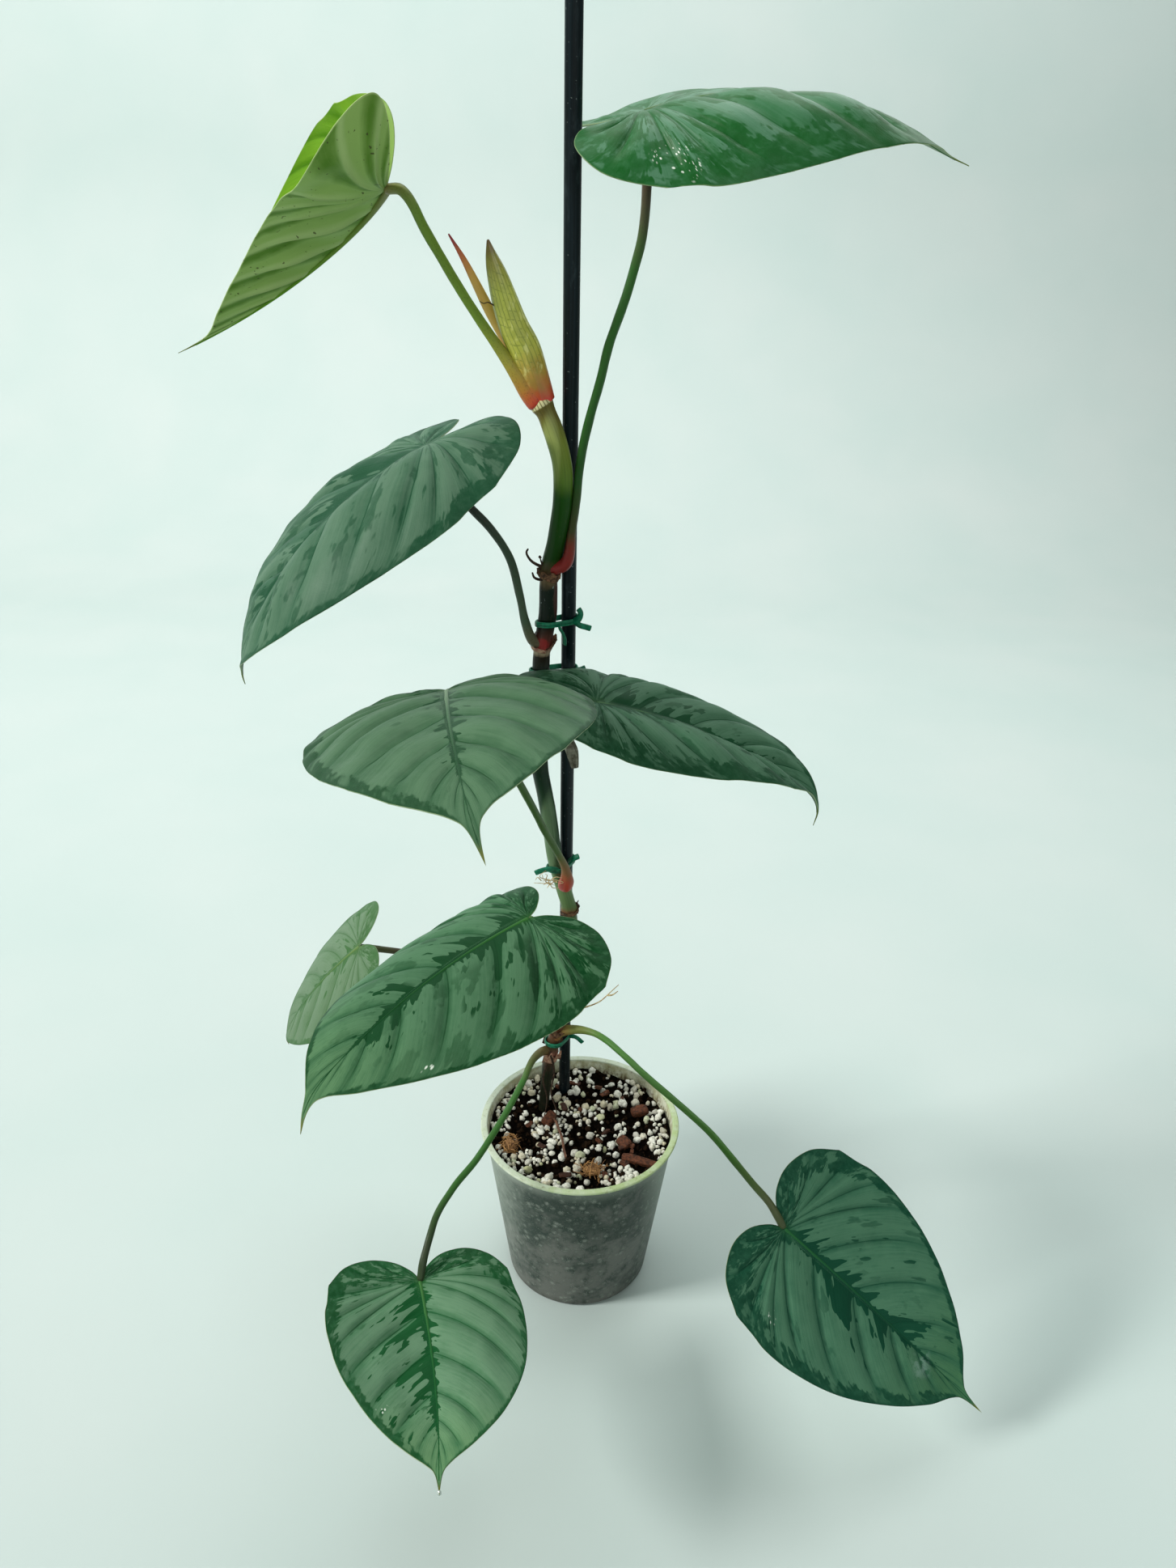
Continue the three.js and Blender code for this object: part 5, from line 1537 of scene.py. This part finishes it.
def pot_material():
    """Frosted clear plastic: the mix shows through, with pale specks, painted light through its
    sides and algae on the lip.
    """
    g = Graph("pot_plastic", Specular_IOR_Level=0.3)
    x, y, z = g.object_place()
    cloud = g.noise(x, y, z, scale=0.035, detail=4, rough=0.6)
    small = g.noise(x, y, z, scale=0.14, detail=4, rough=0.65)
    # Wall
    upper = z.step(40.0, 90.0) * (1.0 - z.step(112.0, 124.0) * 0.5)
    shade = (cloud - 0.44) * 2.4 + upper * 0.6 + (small - 0.5) * 1.5 + 0.1
    colour = g.mix(shade.step(-0.1, 1.0), (94, 97, 91), (38, 52, 44))
    specks = g.cells(x, y, z, scale=0.2).until(0.02, 0.6)
    colour = g.mix(specks * small.step(0.45, 0.6) * 0.36, colour, (170, 178, 166))
    dots = g.cells(x, y, z, scale=0.75).until(0.0, 0.34)
    colour = g.mix(dots * small.step(0.42, 0.62) * 0.36, colour, (186, 194, 184))
    # Lighter at the left and right sides and in the band near the top: painted light shining
    # through the plastic.
    light = (x + small * 22.0).until(-56.0, -18.0) * 0.6 + (x + small * 12.0).step(46.0, 66.0) * 0.5
    light = (light + z.step(112.0, 122.0) * small * 0.5) * z.step(-10.0, 110.0)
    colour = g.mix(light, colour, (166, 178, 164))
    colour = g.mix(z.until(0.5, 9.0) * 0.5, colour, (62, 60, 54))
    # Lip
    front_right = (x * 0.8 - y * 0.6).step(-20.0, 60.0)
    lip = g.mix(front_right * 0.55 + (small - 0.5) * 1.2, (188, 198, 178), (142, 166, 88))
    grime = g.noise(x, y, z, scale=0.3, detail=4, rough=0.7).step(0.55, 0.7)
    lip = g.mix(grime * 0.5, lip, (112, 108, 62))
    low = POT["height"] - POT["lip"]
    colour = g.mix(z.step(low - 1.2, low - 0.4), colour, lip)
    # Inner face above the mix
    slope = (POT["neck"] - POT["base"]) / (POT["height"] - POT["floor"])
    middle = z * slope + (POT["base"] - POT["floor"] * slope - POT["wall"] / 2)
    inside = ((x * x + y * y).math("SQRT") - middle).until(-0.4, 0.4)
    inner = g.mix(small.step(0.35, 0.65), (208, 212, 190), (172, 172, 136))
    residue = g.noise(x, y, z * 0.5, scale=0.4, detail=4, rough=0.7).step(0.45, 0.6)
    residue = residue * z.until(118.0, 125.0)
    inner = g.mix((grime * 0.5).most(residue * 0.85), inner, (88, 66, 44))
    colour = g.mix(inside * z.step(110.0, 114.0) * z.until(125.5, 126.5), colour, inner)
    return g.finish(colour, small * 0.2 + 0.36, small + specks * 0.3, 0.15)


build_pot()


# Potting mix

GRAINS, CRUMBS, SMALL_CHIPS, COIR_FIBRES = 2300, 520, 22, 110
CRUMB_REACH, CHIP_REACH = 63, 56
BARE, HOLLOW = 0.12, -0.12  # where the mix is heaped less than this, most grains are left out
LARGE_GRAIN = 2.1  # grains above this radius get a finer mesh
POSTS = [  # what stands in the mix: place and radius
    (*STAKE["entry"][:2], STAKE["radius"]), (*STEM_PATH[1][:2], STEM_RADII[1]),
]


def clumps(x, y):
    """Above 0 where the mix is heaped up, below 0 in its hollows."""
    return noise_at(x / 14, y / 14, 5, 9) + 0.5 * noise_at(x / 6, y / 6, 0, 8)


def soil_height(x, y):
    hollow = 1 - smoothstep(clumps(x, y), -0.5, 0.15)
    ground = MIX_LEVEL - 0.9 + 1.4 * noise_at(x / 24, y / 24, seed=1) - 3.2 * hollow
    ground += 0.8 * noise_at(x / 3.4, y / 3.4, seed=3) + 0.5 * noise_at(x / 1.6, y / 1.6, seed=4)
    return ground + 2.2 * smoothstep(np.hypot(x, y), 50, 64)


def build_soil():
    sides, rings = 150, 56
    turn = np.linspace(0, 2 * np.pi, sides, endpoint=False)
    radii = (inner_radius(MIX_LEVEL) - GAP) * np.linspace(0.008, 1, rings)[:, None]
    x, y = radii * np.cos(turn), radii * np.sin(turn)
    top = np.stack([x, y, soil_height(x, y)], -1)
    floor = POT["floor"] + GAP
    below = [(inner_radius(z) - GAP, z) for z in (108, 90, 60, 30, floor)] + [(AXIS, floor)]
    points = np.concatenate([top, lathe_points(below, sides)])
    shape = Shape()
    shape.add(points, lathe_faces(len(points), sides))
    colours = ((2, 2, 1), (16, 11, 8))
    material = plain_material("dark_soil", colours, 0.95, 0.9, 0.35, Specular_IOR_Level=0.02)
    shape.build("soil", [material], "mix", ["potting_mix"], mend=True)


def free_spot(random, margin, taken, spacing):
    """A random place on the mix that keeps clear of the stake, the stem and the places taken."""
    for _ in range(60):
        r = (inner_radius(MIX_LEVEL) - margin) * math.sqrt(random.random())
        turn = random.uniform(0, 2 * math.pi)
        x, y = r * math.cos(turn), r * math.sin(turn)
        if any(math.hypot(x - a, y - b) < c + margin for a, b, c in POSTS):
            continue
        if all(math.hypot(x - a, y - b) > spacing * (margin + c) for a, b, c in taken):
            return x, y
    return None


def add_perlite(shape, random):
    taken = [(x, y, 0.38 * max(size)) for (x, y), _, size in CHIPS]
    taken += [(x, y, 0.45 * max(size)) for (x, y), size in COIR]
    for _ in range(GRAINS):
        radius = 1.2 + 1.8 * random.random() ** 1.6
        place = free_spot(random, radius, taken, 0.8)
        if place is None:
            continue
        clump = float(clumps(*place))
        if clump < BARE and random.random() < (0.96 if clump < HOLLOW else 0.75):
            continue
        taken.append((*place, radius))
        z = float(soil_height(*place)) + radius * random.uniform(0.1, 0.8)
        radii, turn = radius * random.uniform(0.7, 1.25, 3), random.uniform(0, TURN, 2)
        pebble(shape, (*place, z), radii, turn, random, 0.3, 3 if radius > LARGE_GRAIN else 2)


def add_crumbs(shape, random):
    for _ in range(CRUMBS):
        r, turn = CRUMB_REACH * math.sqrt(random.random()), random.uniform(0, TURN)
        x, y = r * math.cos(turn), r * math.sin(turn)
        size = random.uniform(0.6, 2.2)
        z = float(soil_height(x, y)) + size * 0.4
        radii, turn = size * random.uniform(0.6, 1.4, 3), random.uniform(0, TURN, 2)
        pebble(shape, (x, y, z), radii, turn, random, 0.35, 1)


def build_grains():
    random = np.random.default_rng(11)
    white, crumbs = Shape(), Shape()
    add_perlite(white, random)
    add_crumbs(crumbs, random)
    g = Graph("perlite", Specular_IOR_Level=0.3)
    tint, other, third = g.attribute("grain")
    pits = g.noise(*g.object_place(), scale=0.9, detail=4, rough=0.7)
    colour = g.mix(tint.step(0.5, 1.0) * 0.8, (218, 218, 206), (176, 166, 134))
    colour = g.mix(pits.step(0.48, 0.72) * 0.65, colour, (112, 104, 84))
    colour = g.mix(third.step(0.75, 0.95) * 0.5, colour, (120, 116, 104))
    colour = g.mix(other.step(0.9, 0.95) * 0.6, colour, (150, 160, 110))
    white.build("perlite", [g.finish(colour, 0.85, pits, 0.5)], "mix")
    colours = ((6, 5, 3), (40, 28, 19))
    material = plain_material("crumb", colours, 0.95, 0.4, 0.5, Specular_IOR_Level=0.02)
    crumbs.build("soil_crumbs", [material], "mix")


def build_chips():
    random = np.random.default_rng(5)
    shape = Shape()
    small = [
        ((random.uniform(-50, 50), random.uniform(-50, 50)), random.uniform(0, 180),
         (random.uniform(4, 9), random.uniform(2, 4), random.uniform(1.5, 3)))
        for _ in range(SMALL_CHIPS)
    ]
    for (x, y), turn, size in CHIPS + [c for c in small if math.hypot(*c[0]) < CHIP_REACH]:
        made = bmesh.new()
        bmesh.ops.create_cube(made, size=1)
        bmesh.ops.subdivide_edges(made, edges=made.edges[:], cuts=6, use_grid_fill=True)
        points, faces = mesh_of(made)
        soft = points * (1 - 0.28 * (np.linalg.norm(points, axis=1) / 0.87) ** 4)[:, None]
        soft = soft * np.array(size)
        soft += 0.5 * soft_noise(points * 3 + x, 1)[:, None] * unit(points + 1e-6)
        soft[:, 2] += 0.35 * soft_noise(points * np.array([2, 9, 2]) + y, 2)
        turn, tilt = math.radians(turn), math.radians(11 + x % 7)
        rotation = np.array(Matrix.Rotation(turn, 3, "Z") @ Matrix.Rotation(tilt, 3, "X"))
        place = (x, y, MIX_LEVEL + 0.9 + 0.15 * size[2])
        tint = np.tile([random.random()] * 3, (len(points), 1))
        shape.add(soft @ rotation.T + place, faces, grain=tint)
    g = Graph("bark_chip")
    tint = g.attribute("grain")[0]
    x, y, z = g.object_place()
    grain = g.noise(x, y, z * 3.0, scale=0.5, detail=4, rough=0.65)
    colour = g.mix(grain.step(0.3, 0.7), (40, 23, 15), (100, 57, 35))
    colour = g.mix(tint.step(0.4, 0.9) * 0.7, colour, (40, 24, 18))
    shape.build("bark_chips", [g.finish(colour, 0.7, grain, 0.5)], "mix")


def build_coir():
    random = np.random.default_rng(3)
    shape = Shape()
    for (x, y), size in COIR:
        core = np.array([x, y, MIX_LEVEL + 1.5])
        pebble(shape, core, np.array(size) * 0.36, (0.3, 0.2), random, 0.3, 3)
        for _ in range(COIR_FIBRES):
            start = core + random.normal(0, 0.3, 3) * size
            heading = unit(random.normal(0, 1, 3) * (1, 1, 0.45))
            bend = random.normal(0, 1.6, 3)
            reach = random.uniform(4, 9)
            t = np.linspace(-0.5, 0.5, 7)[:, None]
            centres = start + heading * reach * t + bend * (0.25 - t * t) * 2
            centres[:, 2] = np.clip(centres[:, 2], MIX_LEVEL, MIX_LEVEL + 0.75 * size[2])
            widths = np.interp(t[:, 0], (-0.5, 0, 0.5), (0.18, 0.34, 0.16))
            tube(shape, centres, widths, sides=5)
            added = len(shape.data.pop("tube")[0])
            shape.data["grain"].append(np.tile([random.random()] * 3, (added, 1)))
    g = Graph("coir", Specular_IOR_Level=0.3)
    tint = g.attribute("grain")[0]
    patch = g.noise(*g.object_place(), scale=0.3, detail=3)
    colour = g.mix(tint, (94, 64, 38), (178, 134, 82))
    colour = g.mix(patch.step(0.5, 0.7) * 0.5, colour, (84, 50, 28))
    shape.build("coir_fibres", [g.finish(colour, 0.75, patch, 0.2)], "mix")


def build_surface_root():
    shape = Shape()
    centres = smooth_path(SURFACE_ROOT, step=1.0)
    sway = [soft_noise(centres / 7, seed) for seed in (1, 2)]
    wander = np.stack([*sway, 0 * centres[:, 0] + 0.6], -1)
    tube(shape, centres + wander, 0.9, sides=12)
    material = plain_material("root_skin", ((62, 40, 31), (116, 80, 60)), 0.65, 0.3, 0.4)
    shape.build("surface_root", [material], "mix")


build_soil()
build_grains()
build_chips()
build_coir()
build_surface_root()


# Floor, backdrop, light and camera

LIGHTS = [  # name, place, target, size, power and colour
    ("key", (-5.0, -1.5, 3.7), (0, 0, 0.35), 1.3, 350, (1.0, 0.98, 0.95)),
    ("front", (0.6, -2.2, 1.4), (0, 0, 0.3), 1.6, 16, (0.98, 1.0, 0.98)),
    ("fill", (1.6, -1.2, 1.3), (0, 0, 0.3), 1.6, 3, (0.94, 1.0, 0.98)),
    ("back", (0.8, 1.2, 1.9), (0, 0, 0.4), 1.4, 8, (0.97, 1.0, 0.98)),
    ("wall", (-0.3, 1.0, 2.9), (-0.3, 2.6, 0.9), 2.4, 56, (1.0, 1.0, 1.0)),
]
FLOOR_FRONT, FLOOR_SIDE, WALL_BEND, WALL_DEPTH, WALL_TOP = -4.5, 5.0, 0.9, 2.6, 5.0
CAMERA_PLACE = (0.001, -0.623, 0.686)
CAMERA_DOWN, CAMERA_ROLL = math.radians(25.4), math.radians(1.12)
FOCAL_PX, FRAME_HEIGHT, SENSOR = 1400, 1938, 36.0


def build_stage():
    start, centre = WALL_DEPTH - WALL_BEND, (WALL_DEPTH - WALL_BEND, WALL_BEND)
    line = [(FLOOR_FRONT, 0.0), (-1.5, 0.0), (0.0, 0.0), (start, 0.0)]
    line += arc(centre, WALL_BEND, -85, 0, 18) + [(WALL_DEPTH, WALL_TOP)]
    points = [(x, y, z) for y, z in line for x in (-FLOOR_SIDE, FLOOR_SIDE)]
    mesh = bpy.data.meshes.new("floor")
    mesh.from_pydata(points, [], grid_faces(len(line), 2))
    mesh.shade_smooth()
    g = Graph("floor", Roughness=0.6)
    soft = g.noise(*g.object_place(), scale=0.004)
    mesh.materials.append(g.finish(g.mix(soft, (198, 207, 204), (184, 201, 197))))
    floor = bpy.data.objects.new("floor", mesh)
    bpy.context.scene.collection.objects.link(floor)


def add_light(name, place, target, size, power, colour):
    lamp = bpy.data.lights.new(name, "AREA")
    lamp.size, lamp.energy, lamp.color = size, power, colour
    light = bpy.data.objects.new(name, lamp)
    light.location = place
    ahead = Vector(target) - Vector(place)
    light.rotation_euler = ahead.to_track_quat("-Z", "Y").to_euler()
    bpy.context.scene.collection.objects.link(light)


def build_world():
    world = bpy.data.worlds.new("studio")
    world.use_nodes = True
    background = world.node_tree.nodes["Background"]
    background.inputs[0].default_value = srgb(226, 240, 236)
    background.inputs[1].default_value = 0.2
    bpy.context.scene.world = world
    bpy.context.scene.view_settings.view_transform = "Standard"


def build_camera():
    ahead = np.array([0, math.cos(CAMERA_DOWN), -math.sin(CAMERA_DOWN)])
    right = np.array([1.0, 0, 0])
    up = np.cross(right, ahead)
    c, s = math.cos(CAMERA_ROLL), math.sin(CAMERA_ROLL)
    axes = np.column_stack([c * right + s * up, -s * right + c * up, -ahead])
    data = bpy.data.cameras.new("camera")
    data.sensor_width = SENSOR
    data.lens = SENSOR * FOCAL_PX / FRAME_HEIGHT
    camera = bpy.data.objects.new("camera", data)
    camera.matrix_world = Matrix.Translation(CAMERA_PLACE) @ Matrix(axes.tolist()).to_4x4()
    bpy.context.scene.collection.objects.link(camera)
    bpy.context.scene.camera = camera


build_stage()
for light in LIGHTS:
    add_light(*light)
build_world()
build_camera()
